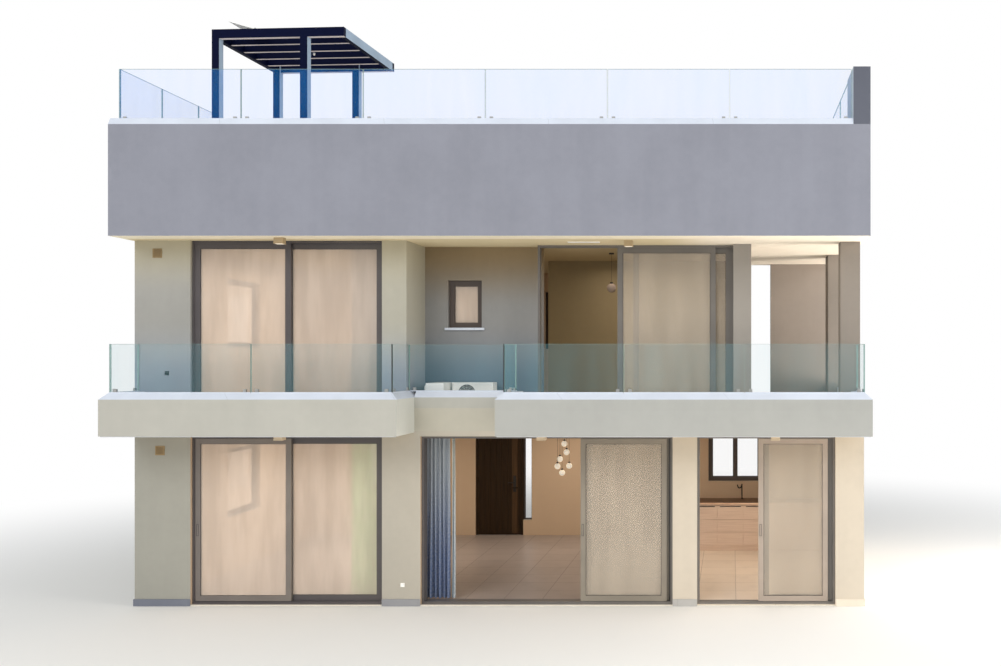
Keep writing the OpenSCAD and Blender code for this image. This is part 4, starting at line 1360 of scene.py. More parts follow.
@dataclass(frozen=True)
class Studio:
    """Plain pale floor that fades to white, white surroundings and soft lamps."""

    reach: float = 60.0
    near: float = 6.5
    far: float = 17.0
    sky: float = 0.72
    daylight: tuple[float, float, float, float] = (0.93, 0.97, 1.0, 1.0)
    floor: Colour = (0.8, 0.79, 0.77)

    def make(self, datum: Datum) -> None:
        """Build the floor, the world and the lamps.

        Args:
            datum: The faces of the house.
        """
        self._world()
        self._floor()
        bpy.context.scene.view_settings.view_transform = "Standard"
        lamps = [
            SoftLight("key", (-9, -24, 17), (0, 0, 4), 14, 12, 2600, (1.0, 0.97, 0.93)),
            SoftLight("side_fill", (18, -10, 9), (2, 0, 3), 8, 8, 1250, (1.0, 0.97, 0.92)),
            SoftLight("ground_bounce", (0, -7, 0.15), (0, -2.5, 6), 20, 3, 300, (1.0, 0.9, 0.74)),
            SoftLight("right_bounce", (4.5, -7, 0.2), (4.5, -2.7, 1.5), 6, 2, 28, (1.0, 0.92, 0.8)),
            SoftLight("terrace_fill", (11, -2.4, 2.2), (4.5, 0.5, 5), 3, 3, 560, (1.0, 0.93, 0.86)),
            self._room("living_fill", (-1.0, 2.4), 1.6, datum.ceiling, 42),
            self._room("kitchen_fill", (2.9, 5.2), -0.6, datum.ceiling, 31),
            self._room("left_room_fill", (-4.9, -1.6), 0.8, datum.ceiling, 60),
            self._room("bedroom_fill", (0.7, 3.4), -0.6, datum.soffit, 20),
            self._room("left_bedroom_fill", (-4.9, -1.6), 0.4, datum.soffit, 64),
        ]
        for lamp in lamps:
            lamp.make()

    def _room(self, name: str, span: Point, y: float, top: float, power: float) -> SoftLight:
        """Give a warm lamp under a ceiling.

        Args:
            name: Name of the lamp.
            span: Where the room starts and ends along the front.
            y: Place of the lamp along the depth of the house.
            top: Height of the ceiling.
            power: Power in watts.

        Returns:
            The lamp, not yet hung.
        """
        middle = (span[0] + span[1]) / 2
        width = (span[1] - span[0]) * 0.7
        place = (middle, y, top - 0.12)
        return SoftLight(name, place, (middle, y, 0), width, 1.6, power, (1.0, 0.9, 0.78))

    def _world(self) -> None:
        """Make the sky even, and white wherever it is seen."""
        world = bpy.data.worlds.new("studio")
        bpy.context.scene.world = world
        graph = Graph(world)
        camera, glossy, through = [
            graph.node("ShaderNodeLightPath", out=f"Is {ray} Ray")
            for ray in ("Camera", "Glossy", "Transmission")
        ]
        seen = camera.either(glossy).either(through)
        sockets = {"Color": self.daylight, "Strength": self.sky}
        light = graph.node("ShaderNodeBackground", {}, sockets)
        sockets = {"Color": (1.0, 1.0, 1.0, 1.0), "Strength": 1.0}
        white = graph.node("ShaderNodeBackground", {}, sockets)
        both = graph.node("ShaderNodeMixShader", {}, {0: seen, 1: light, 2: white})
        graph.close(both, "ShaderNodeOutputWorld")

    def _floor(self) -> None:
        """Lay the floor under the house."""
        release()
        bpy.ops.mesh.primitive_plane_add(size=2 * self.reach, location=(0, 0, -0.002))
        floor = bpy.context.object
        floor.name = "studio_floor"
        graph = Graph.named("studio_floor")
        speck = graph.noise(3.0, 2.0)
        tone = graph.blend(speck, scaled(self.floor, 0.99), self.floor)
        lit = graph.shaded(Coat(tone, 0.9, speck), 0.0001)
        white = graph.node("ShaderNodeEmission", {}, {"Color": (1, 1, 1, 1), "Strength": 1.0})
        far = graph.node("ShaderNodeVectorMath", {"operation": "LENGTH"}, {0: graph.place}, "Value")
        seen = graph.node("ShaderNodeLightPath", out="Is Camera Ray")
        fade = far.ramp(self.near, self.far) * seen
        graph.close(graph.node("ShaderNodeMixShader", {}, {0: fade, 1: lit, 2: white}))
        floor.data.materials.append(graph.owner)


@dataclass(frozen=True)
class CadFinishes:
    """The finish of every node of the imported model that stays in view."""

    palette: Palette

    def dress(self) -> None:
        """Hand each node its finish."""
        paint = self.palette
        groups = {
            paint.ground_floor: ["ground_slab"],
            paint.upper_slab: ["upper_floor_slab"],
            paint.balcony_slab: ["balcony_slabs"],
            paint.roof_slab: ["roof_slabs"],
            paint.wall: [
                "ground_front_piers",
                "ground_lintels",
                "ground_side_walls",
                "ground_rear_walls",
            ],
            paint.block_wall: ["upper_block_walls"],
            paint.upper_wall: ["upper_left_wall", "upper_rear_wall"],
            paint.recess: ["recess_wall"],
            paint.pier_shade: ["bedroom_side_wall"],
            paint.room_shade: ["bedroom_back_wall"],
            paint.terrace: ["terrace_back_wall"],
            paint.pillar: ["terrace_pillars"],
            paint.box: ["balcony_front_upstands", "balcony_end_upstands"],
            paint.stone: ["balcony_coping", "roof_coping"],
            paint.skirting: ["wall_skirting"],
            paint.fascia: ["roof_fascia_front_rear", "roof_fascia_sides"],
            paint.fin: ["roof_fin"],
            paint.guard_glass: ["balcony_glass"],
            paint.roof_guard_glass: ["roof_glass"],
            paint.window_glass: [
                "fixed_glass",
                "left_leaf_glass",
                "living_outer_glass",
                "living_middle_glass",
                "kitchen_leaf_glass",
            ],
            paint.frames: ["ground_door_frames", "upper_door_frames"],
            paint.window_frames: ["window_frames"],
            paint.leaves: [
                "left_leaf",
                "living_outer_leaf",
                "living_middle_leaf",
                "kitchen_leaf",
            ],
            paint.navy_columns: ["pergola_columns"],
            paint.navy_slats: ["pergola_beams"],
            paint.navy_sunlit: ["pergola_side_beams"],
            paint.white_metal: ["pergola_panel", "air_conditioners"],
            paint.lamp: ["box_lamps"],
            paint.wood: ["entry_door", "entry_door_frame"],
            paint.cabinet: ["kitchen_counter"],
            paint.drape: ["curtains"],
        }
        for finish, nodes in groups.items():
            for node in nodes:
                self._repaint(node, finish)

    def _repaint(self, node: str, finish: bpy.types.Material) -> None:
        """Put one finish in all of a node's material slots.

        Args:
            node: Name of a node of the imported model.
            finish: Its material.
        """
        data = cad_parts[node].data
        if not data.materials:
            data.materials.append(finish)
        for index in range(len(data.materials)):
            data.materials[index] = finish
        log.info("%s: %s", node, finish.name)


@dataclass(frozen=True)
class GlassGuards:
    """Polished edges, clamps and foot channels of the frameless glass guards."""

    palette: Palette
    edge: float = 0.0025
    edge_out: float = 0.0006
    stop: float = 0.012
    stop_out: float = 0.002
    row_depth: float = 0.05
    gap: float = 0.5
    clamp_in: float = 0.06
    clamp_w: float = 0.05
    clamp_h: float = 0.045
    clamp_out: float = 0.006
    channel_h: float = 0.014
    channel_out: float = 0.012

    def build(self) -> None:
        """Fit both guards."""
        for node in ("balcony_glass", "roof_glass"):
            panels = solids_of(node)
            name = node.replace("_glass", "")
            self._stops(f"{name}_glass_stops", panels)
            self._edges(f"{name}_glass_edges", panels)
            self._clamps(f"{name}_glass_clamps", panels)
            self._channels(f"{name}_glass_channels", panels)

    def _stops(self, name: str, panels: list[Solid]) -> None:
        """Close the front row with a dark strip where it stops at a gap in the balcony.

        Args:
            name: Name of the piece.
            panels: The guard's panes.
        """
        front = min(panel.low.y for panel in panels)
        near = [panel for panel in panels if panel.low.y < front + self.row_depth]
        row = [panel for panel in near if panel.thin_axis is Axis.Y]
        row.sort(key=lambda panel: panel.low.x)
        parts = []
        for left, right in zip(row, row[1:]):
            if right.low.x - left.high.x < self.gap:
                continue
            for panel, x in ((left, left.high.x - self.stop), (right, right.low.x)):
                low = (x, panel.low.y - self.stop_out, panel.low.z)
                high = (x + self.stop, panel.high.y + self.stop_out, panel.high.z)
                parts.append(Form.block(name, low, high).round_edges(0.001, 1).thing)
        if parts:
            Form.joined(name, parts).dress(self.palette.rubber, "frame_metal")

    def _edges(self, name: str, panels: list[Solid]) -> None:
        """Run a polished strip round each panel.

        Args:
            name: Name of the piece.
            panels: The guard's panes.
        """
        parts = []
        for panel in panels:
            across = panel.thin_axis
            low, high = panel.low.copy(), panel.high.copy()
            low[across.value] -= self.edge_out
            high[across.value] += self.edge_out
            ring = Form.block(name, low, high).opened(self.edge, across)
            parts.append(ring.round_edges(0.0008, 1).thing)
        Form.joined(name, parts).dress(self.palette.glass_edge, "guard_glass")

    def _clamps(self, name: str, panels: list[Solid]) -> None:
        """Screw a small clamp to the foot of each end of each panel.

        Args:
            name: Name of the piece.
            panels: The guard's panes.
        """
        parts = []
        for panel in panels:
            across = panel.thin_axis
            along = Axis.X if across is Axis.Y else Axis.Y
            for end in (panel.low, panel.high):
                inward = 1 if end is panel.low else -1
                low = panel.low.copy()
                low[across.value] -= self.clamp_out
                high = panel.high.copy()
                high[across.value] += self.clamp_out
                high.z = panel.low.z + self.channel_h + self.clamp_h
                low.z = panel.low.z + self.channel_h
                middle = end[along.value] + inward * (self.clamp_in + self.clamp_w / 2)
                low[along.value] = middle - self.clamp_w / 2
                high[along.value] = middle + self.clamp_w / 2
                parts.append(Form.block(name, low, high).round_edges(0.003, 2).thing)
        Form.joined(name, parts).dress(self.palette.steel, "frame_metal")

    def _channels(self, name: str, panels: list[Solid]) -> None:
        """Lay a slim channel along the foot of each panel.

        Args:
            name: Name of the piece.
            panels: The guard's panes.
        """
        parts = []
        for panel in panels:
            across = panel.thin_axis
            low, high = panel.low.copy(), panel.high.copy()
            low[across.value] -= self.channel_out
            high[across.value] += self.channel_out
            high.z = low.z + self.channel_h
            parts.append(Form.block(name, low, high).round_edges(0.002, 1).thing)
        Form.joined(name, parts).dress(self.palette.stone, "white_stone")


@dataclass(frozen=True)
class Glazing:
    """Gaskets round every pane and flush pulls on the sliding leaves."""

    palette: Palette
    lip: float = 0.005
    proud: float = 0.003
    pull_h: float = 0.18
    pull_w: float = 0.032
    pull_in: float = 0.034
    pull_z: float = 1.05
    pull_out: float = 0.002
    pull_depth: float = 0.004

    def build(self) -> None:
        """Fit the panes and leaves, each on its own body."""
        panes = {
            "fixed_glass": HOUSE,
            "left_leaf_glass": "left_leaf",
            "living_outer_glass": "living_outer_leaf",
            "living_middle_glass": "living_middle_leaf",
            "kitchen_leaf_glass": "kitchen_leaf",
        }
        for node, body in panes.items():
            self._gaskets(node, body)
        for leaf in ("left_leaf", "living_outer_leaf", "living_middle_leaf", "kitchen_leaf"):
            self._pull(leaf)

    def _gaskets(self, node: str, body: str) -> None:
        """Press a dark gasket round each pane of a node.

        Args:
            node: Name of the panes' node.
            body: Moving part that they ride on.
        """
        name = node.replace("_glass", "_gaskets")
        parts = []
        for pane in solids_of(node):
            across = pane.thin_axis
            low, high = pane.low.copy(), pane.high.copy()
            low[across.value] -= self.proud
            high[across.value] += self.proud
            parts.append(Form.block(name, low, high).opened(self.lip, across).thing)
        Form.joined(name, parts).dress(self.palette.rubber, "frame_metal", body)

    def _pull(self, leaf: str) -> None:
        """Let a flush pull into a leaf's closing stile.

        Args:
            leaf: Name of the leaf, which is its body's name too.
        """
        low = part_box(leaf)[0]
        middle = low.x + self.pull_in
        corner = (middle - self.pull_w / 2, low.y - self.pull_out, self.pull_z)
        other = (middle + self.pull_w / 2, low.y + self.pull_depth, self.pull_z + self.pull_h)
        pull = Form.block(f"{leaf}_pull", corner, other)
        pull.sunk(lambda centre, normal: normal.y < -0.9, 0.006, 0.0045)
        pull.round_edges(0.0012, 2).dress(self.palette.dark_metal, "frame_metal", leaf)


@dataclass(frozen=True)
class Sills:
    """Stone sills under the windows and drip beads under the balcony boxes."""

    palette: Palette
    datum: Datum
    thick: float = 0.04
    out: float = 0.035
    past: float = 0.045
    under_frame: float = 0.004
    behind_frame: float = 0.045
    tallest_window: float = 1.5
    shortest_box: float = 2.5
    bead_in: float = 0.02
    bead_y: tuple[float, float] = (0.015, 0.03)
    bead_z: tuple[float, float] = (-0.01, 0.002)

    def build(self) -> None:
        """Lay a sill under each window and the beads under the boxes."""
        parts = []
        for ring in solids_of("window_frames"):
            if ring.size.z > self.tallest_window:
                continue
            parts.append(self._sill(ring).round_edges(0.004, 2).thing)
        Form.joined("window_sills", parts).dress(self.palette.stone, "white_stone")
        self._beads()

    def _sill(self, ring: Solid) -> Form:
        """Make the sill of one window, on the wall face that the window looks out of.

        Args:
            ring: Box of the window's frame.

        Returns:
            The sill, not yet finished.
        """
        across = ring.thin_axis
        along = Axis.X if across is Axis.Y else Axis.Y
        middle = ring.middle[across.value]
        faces = {
            Axis.X: [self.datum.left, self.datum.right],
            Axis.Y: [self.datum.recess, self.datum.rear, self._wing_rear()],
        }[across]
        face = min(faces, key=lambda value: abs(value - middle))
        outward = 1 if face > middle else -1
        low, high = ring.low.copy(), ring.high.copy()
        low[along.value] -= self.past
        high[along.value] += self.past
        ends = sorted((middle + outward * self.behind_frame, face + outward * self.out))
        low[across.value], high[across.value] = ends
        high.z = ring.low.z + self.under_frame
        low.z = high.z - self.thick
        return Form.block("window_sill", low, high)

    def _wing_rear(self) -> float:
        """Give the rear face of the kitchen wing."""
        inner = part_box("kitchen_counter")[1]
        return inner.y + (self.datum.right - inner.x)

    def _beads(self) -> None:
        """Run a slim drip bead under the front of each balcony box."""
        parts = []
        (y0, y1), (z0, z1) = self.bead_y, self.bead_z
        under = self.datum.balcony_underside
        for box in solids_of("balcony_front_upstands"):
            if box.size.x < self.shortest_box:
                continue
            low = (box.low.x + self.bead_in, box.low.y + y0, under + z0)
            high = (box.high.x - self.bead_in, box.low.y + y1, under + z1)
            parts.append(Form.block("drip_bead", low, high).round_edges(0.003, 2).thing)
        if parts:
            Form.joined("drip_beads", parts).dress(self.palette.stone, "white_stone")


@dataclass(frozen=True)
class WallFittings:
    """Vent grilles, outlet plates and the slot in the soffit."""

    palette: Palette
    datum: Datum
    vent: float = 0.14
    vent_out: float = 0.012
    vent_in: float = 0.004
    vent_rim: float = 0.018
    vents: tuple[Point, ...] = ((-5.165, 5.345), (-5.125, 2.355))
    blade_pitch: float = 0.0155
    blades_each_side: int = 3
    plate: float = 0.03
    dark_plate: Point = (-5.02, 3.53)
    white_plate: Point = (-1.45, 0.32)
    slot_x: tuple[float, float] = (1.02, 1.51)
    slot_y: float = 0.2
    slot_half: float = 0.04
    slot_drop: float = 0.008

    def build(self) -> None:
        """Fix the grilles and plates to the front walls and the soffit."""
        half = self.vent / 2
        face = self.datum.front
        low = (-half, face - self.vent_out, -half)
        model = Form.block("vent", low, (half, face + self.vent_in, half))
        model.sunk(lambda centre, normal: normal.y < -0.9, 0.016, 0.01).round_edges(0.002, 1)
        places = [at(x, 0, z) for x, z in self.vents]
        frames = model.copies("wall_vents", places)
        frames.dress(self.palette.vent, "frame_metal")
        reach = half - self.vent_rim
        blade = Form.block("blade", (-reach, face - 0.011, -0.005), (reach, face - 0.002, 0.001))
        blade.round_edges(0.001, 1)
        count = self.blades_each_side
        steps = [step * self.blade_pitch for step in range(-count, count + 1)]
        places = [at(x, 0, z + step) for x, z in self.vents for step in steps]
        blade.copies("wall_vent_blades", places).dress(self.palette.vent, "frame_metal")
        dark, white = self.palette.dark_metal, self.palette.white_metal
        self._outlet("balcony_outlet_plate", self.dark_plate, dark, "frame_metal")
        self._outlet("garden_outlet_plate", self.white_plate, white, "white_metal")
        self._soffit_slot()

    def _outlet(self, name: str, place: Point, paint: bpy.types.Material, surface: str) -> None:
        """Fix one square outlet plate to the front wall.

        Args:
            name: Name of the plate.
            place: Its place along the front and its height.
            paint: Its material.
            surface: Kind of surface it counts as.
        """
        x, z = place
        half, face = self.plate, self.datum.front
        low = (x - half, face - 0.01, z - half)
        plate = Form.block(name, low, (x + half, face + 0.002, z + half))
        plate.sunk(lambda centre, normal: normal.y < -0.9, 0.01, 0.004).round_edges(0.003, 2)
        plate.dress(paint, surface)

    def _soffit_slot(self) -> None:
        """Fit the slim air slot in the soffit in front of the bedroom door."""
        top = self.datum.soffit
        y = self.datum.front + self.slot_y
        left, right = self.slot_x
        low = (left, y - self.slot_half, top - self.slot_drop)
        slot = Form.block("soffit_slot", low, (right, y + self.slot_half, top + 0.002))
        slot.sunk(lambda centre, normal: normal.z < -0.9, 0.014, 0.005)
        slot.round_edges(0.002, 1).dress(self.palette.white_metal, "white_metal")


@dataclass(frozen=True)
class LampLenses:
    """A frosted lens in a slim rim under each box lamp."""

    palette: Palette
    rim: float = 0.012
    drop: float = 0.006

    def build(self) -> None:
        """Fit a rim and a lens to each lamp."""
        rims = []
        lenses = []
        for lamp in solids_of("box_lamps"):
            low = Vector((lamp.low.x - 0.003, lamp.low.y - 0.003, lamp.low.z - self.drop))
            high = Vector((lamp.high.x + 0.003, lamp.high.y + 0.003, lamp.low.z + 0.01))
            rim = Form.block("lamp_rim", low, high).opened(self.rim, Axis.Z)
            rims.append(rim.round_edges(0.0015, 1).thing)
            inner = Vector((self.rim + 0.001, self.rim + 0.001, 0))
            lens = Form.block("lamp_lens", low + inner, high - inner)
            lens.sunk(lambda centre, normal: normal.z < -0.9, 0.008, 0.002)
            lenses.append(lens.thing)
        Form.joined("lamp_rims", rims).dress(self.palette.lamp, "white_metal")
        Form.joined("lamp_lenses", lenses).dress(self.palette.globe, "white_metal")


@dataclass(frozen=True)
class AirConditioner:
    """One outdoor unit: rounded case with a sunk side, round fan guard, fan well and feet."""

    palette: Palette
    name: str
    box: Solid
    faces: Axis
    foot: float = 0.04
    foot_ends: tuple[float, float] = (0.05, 0.09)
    case_in: float = 0.012
    guard_at: float = 0.36
    guard_share: float = 0.42
    guard_out: float = 0.004
    rim_wire: float = 0.0035
    ring_wire: float = 0.002
    rings: tuple[float, ...] = (0.82, 0.64, 0.46, 0.28)
    spokes: int = 12
    well_depth: float = 0.006

    def build(self) -> None:
        """Build the unit in its solid's box."""
        wide = Axis.X if self.faces is Axis.Y else Axis.Y
        low, high = self.box.low.copy(), self.box.high.copy()
        front = low[self.faces.value] + self.case_in
        case_low, case_high = low.copy(), high.copy()
        case_low.z += self.foot
        case_low[self.faces.value] = front
        case = Form.block(self.name, case_low, case_high)
        facing = self.faces.value
        case.sunk(lambda centre, normal: normal[facing] < -0.9, 0.02, 0.006)
        case.sunk(lambda centre, normal: normal[wide.value] > 0.9, 0.03, 0.006)
        case.round_edges(0.008, 3).smooth()
        parts = [case.thing]
        length = high[wide.value] - low[wide.value]
        tall = case_high.z - case_low.z
        middle = self.box.middle.copy()
        middle.z = (case_low.z + case_high.z) / 2
        middle[wide.value] = low[wide.value] + length * self.guard_at
        middle[facing] = front - self.guard_out
        radius = tall * self.guard_share
        parts.append(Form.hoop("guard_ring", middle, radius, self.rim_wire, self.faces).thing)
        for share in self.rings:
            ring = Form.hoop("guard_ring", middle, radius * share, self.ring_wire, self.faces)
            parts.append(ring.thing)
        hub = Form.rod("hub", middle, radius * 0.16, 0.012, self.faces).round_edges(0.003)
        parts.append(hub.thing)
        spoke = Form.rod("spoke", (0, 0, radius / 2), self.ring_wire, radius, Axis.Z, 6)
        angles = [step * math.tau / self.spokes for step in range(self.spokes)]
        turns = [Matrix.Rotation(angle, 4, self.faces.name) for angle in angles]
        places = [Matrix.Translation(middle) @ turn for turn in turns]
        parts.append(spoke.copies("spokes", places).thing)
        near, far = self.foot_ends
        for x in (low[wide.value] + near, high[wide.value] - far):
            foot_low, foot_high = low.copy(), high.copy()
            foot_high.z = low.z + self.foot + 0.002
            foot_low[wide.value], foot_high[wide.value] = x, x + self.foot
            parts.append(Form.block("foot", foot_low, foot_high).round_edges(0.004).thing)
        unit = Form.joined(self.name, parts)
        unit.dress(self.palette.white_metal, "white_metal")
        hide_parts("air_conditioners")
        self._fan(middle, radius, front)

    def _fan(self, middle: Vector, radius: float, front: float) -> None:
        """Set the dark fan well behind the guard.

        Args:
            middle: Centre of the guard.
            radius: Its radius.
            front: Place of the case's front face.
        """
        centre = middle.copy()
        facing = self.faces.value
        centre[facing] = front + self.well_depth / 2
        well = Form.rod(f"{self.name}_fan", centre, radius, self.well_depth, self.faces, 40)
        well.sunk(lambda spot, normal: normal[facing] < -0.9, 0.008, 0.002)
        well.smooth().dress(self.palette.dark_metal, "frame_metal")


@dataclass(frozen=True)
class Curtain:
    """A gathered curtain hung from a ceiling track."""

    palette: Palette
    name: str
    box: Solid
    folds: int
    finish: bpy.types.Material
    rows: int = 26
    steps: int = 14
    track_h: float = 0.022
    track_half: float = 0.016
    clear: float = 0.006
    side: float = 0.012
    gather: float = 0.72
    swing: float = 0.94
    lean: float = 0.006

    def build(self) -> tuple[float, float]:
        """Hang the curtain and its track.

        Returns:
            The flat width and length of the cloth.
        """
        low, high = self.box.low, self.box.high
        top = high.z - self.track_h
        columns = self.folds * self.steps
        deep = self.box.size.y / 2 - self.clear
        points = []
        for row in range(self.rows + 1):
            share = row / self.rows
            z = low.z + (top - low.z) * share
            shares = [column / columns for column in range(columns + 1)]
            points.append([self._point(along, share, z, deep) for along in shares])
        lengths = [sum((b - a).length for a, b in zip(line, line[1:])) for line in points]
        flat = (sum(lengths) / len(lengths), top - low.z)
        shape = bmesh.new()
        layer = shape.loops.layers.uv.new("flat")
        grid = [[shape.verts.new(point) for point in line] for line in points]
        for row in range(self.rows):
            for column in range(columns):
                after, above = column + 1, row + 1
                corners = [(row, column), (row, after), (above, after), (above, column)]
                face = shape.faces.new([grid[r][c] for r, c in corners])
                for loop, (r, c) in zip(face.loops, corners):
                    loop[layer].uv = (flat[0] * c / columns, flat[1] * r / self.rows)
        shape.normal_update()
        data = bpy.data.meshes.new(self.name)
        shape.to_mesh(data)
        shape.free()
        thing = bpy.data.objects.new(self.name, data)
        bpy.context.scene.collection.objects.link(thing)
        release()
        thing.select_set(True)
        bpy.context.view_layer.objects.active = thing
        sheet = Form(self.name)
        sheet.smooth(80).dress(self.finish, "curtain_cloth")
        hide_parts("curtains")
        rail = self._track(high.z)
        return flat

    def _point(self, along: float, share: float, z: float, deep: float) -> Vector:
        """Give a point of the cloth.

        Args:
            along: Share of its width, from the left.
            share: Share of its height, from the hem.
            z: Height of the point.
            deep: How far the folds swing to each side.

        Returns:
            The point.
        """
        low, size = self.box.low, self.box.size
        turn = along * self.folds * math.tau
        swing = math.sin(turn + 0.5 * math.sin(along * 9 + share * 1.7))
        opened = self.gather + (1 - self.gather) * (1 - share)
        tighten = opened + 0.06 * math.sin(turn * 0.37 + share * 4)
        lean = self.lean * math.sin(turn * 0.5 + share * 3.1)
        x = low.x + self.side + (size.x - 2 * self.side) * along + lean
        y = self.box.middle.y + swing * deep * min(tighten, 1.0) * self.swing
        return Vector((x, y, z))

    def _track(self, top: float) -> bpy.types.Object:
        """Fix the slim track to the ceiling over the curtain.

        Args:
            top: Height of the ceiling.

        Returns:
            The track.
        """
        low, high = self.box.low, self.box.high
        middle = self.box.middle.y
        corner = (low.x, middle - self.track_half, top - self.track_h)
        other = (high.x, middle + self.track_half, top)
        rail = Form.block(f"{self.name}_track", corner, other)
        rail.sunk(lambda centre, normal: normal.z < -0.9, 0.008, 0.006)
        rail.round_edges(0.0015, 1).dress(self.palette.white_metal, "white_metal")
        return rail.thing


@dataclass(frozen=True)
class Kitchen:
    """Worktop with its pale front edge, drawer fronts with grips, and the sink's tap."""

    palette: Palette
    fronts: int = 5
    rows: tuple[Point, ...] = ((0.1, 0.36), (0.364, 0.6))
    upper_row: float = 0.604
    row_top: float = 0.03
    front_gap: float = 0.004
    end_gap: float = 0.005
    top_t: float = 0.03
    top_end: float = 0.002
    top_out: float = 0.025
    edge_out: float = 0.031
    tap_x: float = 3.74
    tap_rise: float = 0.3
    tap_reach: float = 0.075
    tap_way: tuple[float, float, float] = (-0.6, -0.8, 0.0)
    tap_r: float = 0.012
    tap_back: float = 0.12

    def build(self) -> None:
        """Dress the counter's block."""
        low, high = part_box("kitchen_counter")
        front = low.y
        left, right = low.x + self.top_end, high.x - self.top_end
        corner = (left, front - self.top_out, high.z)
        other = (right, high.y - 0.001, high.z + self.top_t)
        board = Form.block("worktop", corner, other)
        board.round_edges(0.004, 2).dress(self.palette.worktop, "counter_board")
        corner = (left, front - self.edge_out, high.z - 0.004)
        other = (right, front - self.top_out + 0.001, high.z + self.top_t - 0.002)
        edge = Form.block("worktop_edge", corner, other).round_edges(0.002, 2)
        edge.dress(self.palette.worktop_edge, "counter_board")
        width = (high.x - low.x - 2 * self.end_gap) / self.fronts
        heights = [(low.z + bottom, low.z + top) for bottom, top in self.rows]
        heights.append((low.z + self.upper_row, high.z - self.row_top))
        parts = []
        left = low.x + self.end_gap
        for z0, z1 in heights:
            corner = (left, front - 0.02, z0)
            other = (left + width - self.front_gap, front + 0.001, z1)
            model = Form.block("drawer_front", corner, other).round_edges(0.002, 2)
            places = [at(step * width, 0, 0) for step in range(self.fronts)]
            parts.append(model.copies("drawer_row", places).thing)
        Form.joined("drawer_fronts", parts).dress(self.palette.cabinet, "counter_board")
        self._grips(low, high, width)
        self._tap(high)

    def _grips(self, low: Vector, high: Vector, width: float) -> None:
        """Fit a dark grip strip under the worktop in front of each drawer.

        Args:
            low: The counter's corner at the front, left and floor.
            high: Its opposite corner.
            width: Width of a drawer front with its gap.
        """
        front = low.y
        corner = (low.x + 0.05, front - 0.024, high.z - 0.052)
        other = (low.x + width - 0.05, front - 0.018, high.z - 0.036)
        grip = Form.block("drawer_grip", corner, other).round_edges(0.002, 2)
        places = [at(step * width, 0, 0) for step in range(self.fronts)]
        grip.copies("drawer_grips", places).dress(self.palette.dark_metal, "frame_metal")

    def _tap(self, high: Vector) -> None:
        """Stand the swan-neck tap behind the sink.

        Args:
            high: The counter's corner at the back, right and top.
        """
        x, y, z = self.tap_x, high.y - self.tap_back, high.z + self.top_t
        rise, reach = self.tap_rise, self.tap_reach
        way = Vector(self.tap_way)
        release()
        bpy.ops.mesh.primitive_circle_add(
            vertices=12, radius=self.tap_r, fill_type="NGON", location=(x, y, z)
        )
        tap = Form("sink_tap")
        with tap.editing():
            tap.pick(lambda centre, normal: True)
            bpy.ops.mesh.extrude_region_move(TRANSFORM_OT_translate={"value": (0, 0, rise)})
            tap.pick(lambda centre, normal: centre.z > z + 0.9 * rise and abs(normal.z) > 0.9)
            bpy.ops.mesh.spin(
                steps=10,
                angle=math.pi,
                center=(x + way.x * reach, y + way.y * reach, z + rise),
                axis=(-way.y, way.x, 0),
            )
        with tap.editing():
            bpy.ops.mesh.select_all(action="SELECT")
            bpy.ops.mesh.remove_doubles(threshold=0.0001)
            bpy.ops.mesh.normals_make_consistent(inside=False)
        foot = Form.rod("tap_foot", (x, y, z + 0.01), 2 * self.tap_r, 0.02, Axis.Z, 20)
        foot.round_edges(0.003)
        Form.joined("sink_tap", [tap.thing, foot.thing]).smooth(50).dress(
            self.palette.dark_metal, "frame_metal"
        )


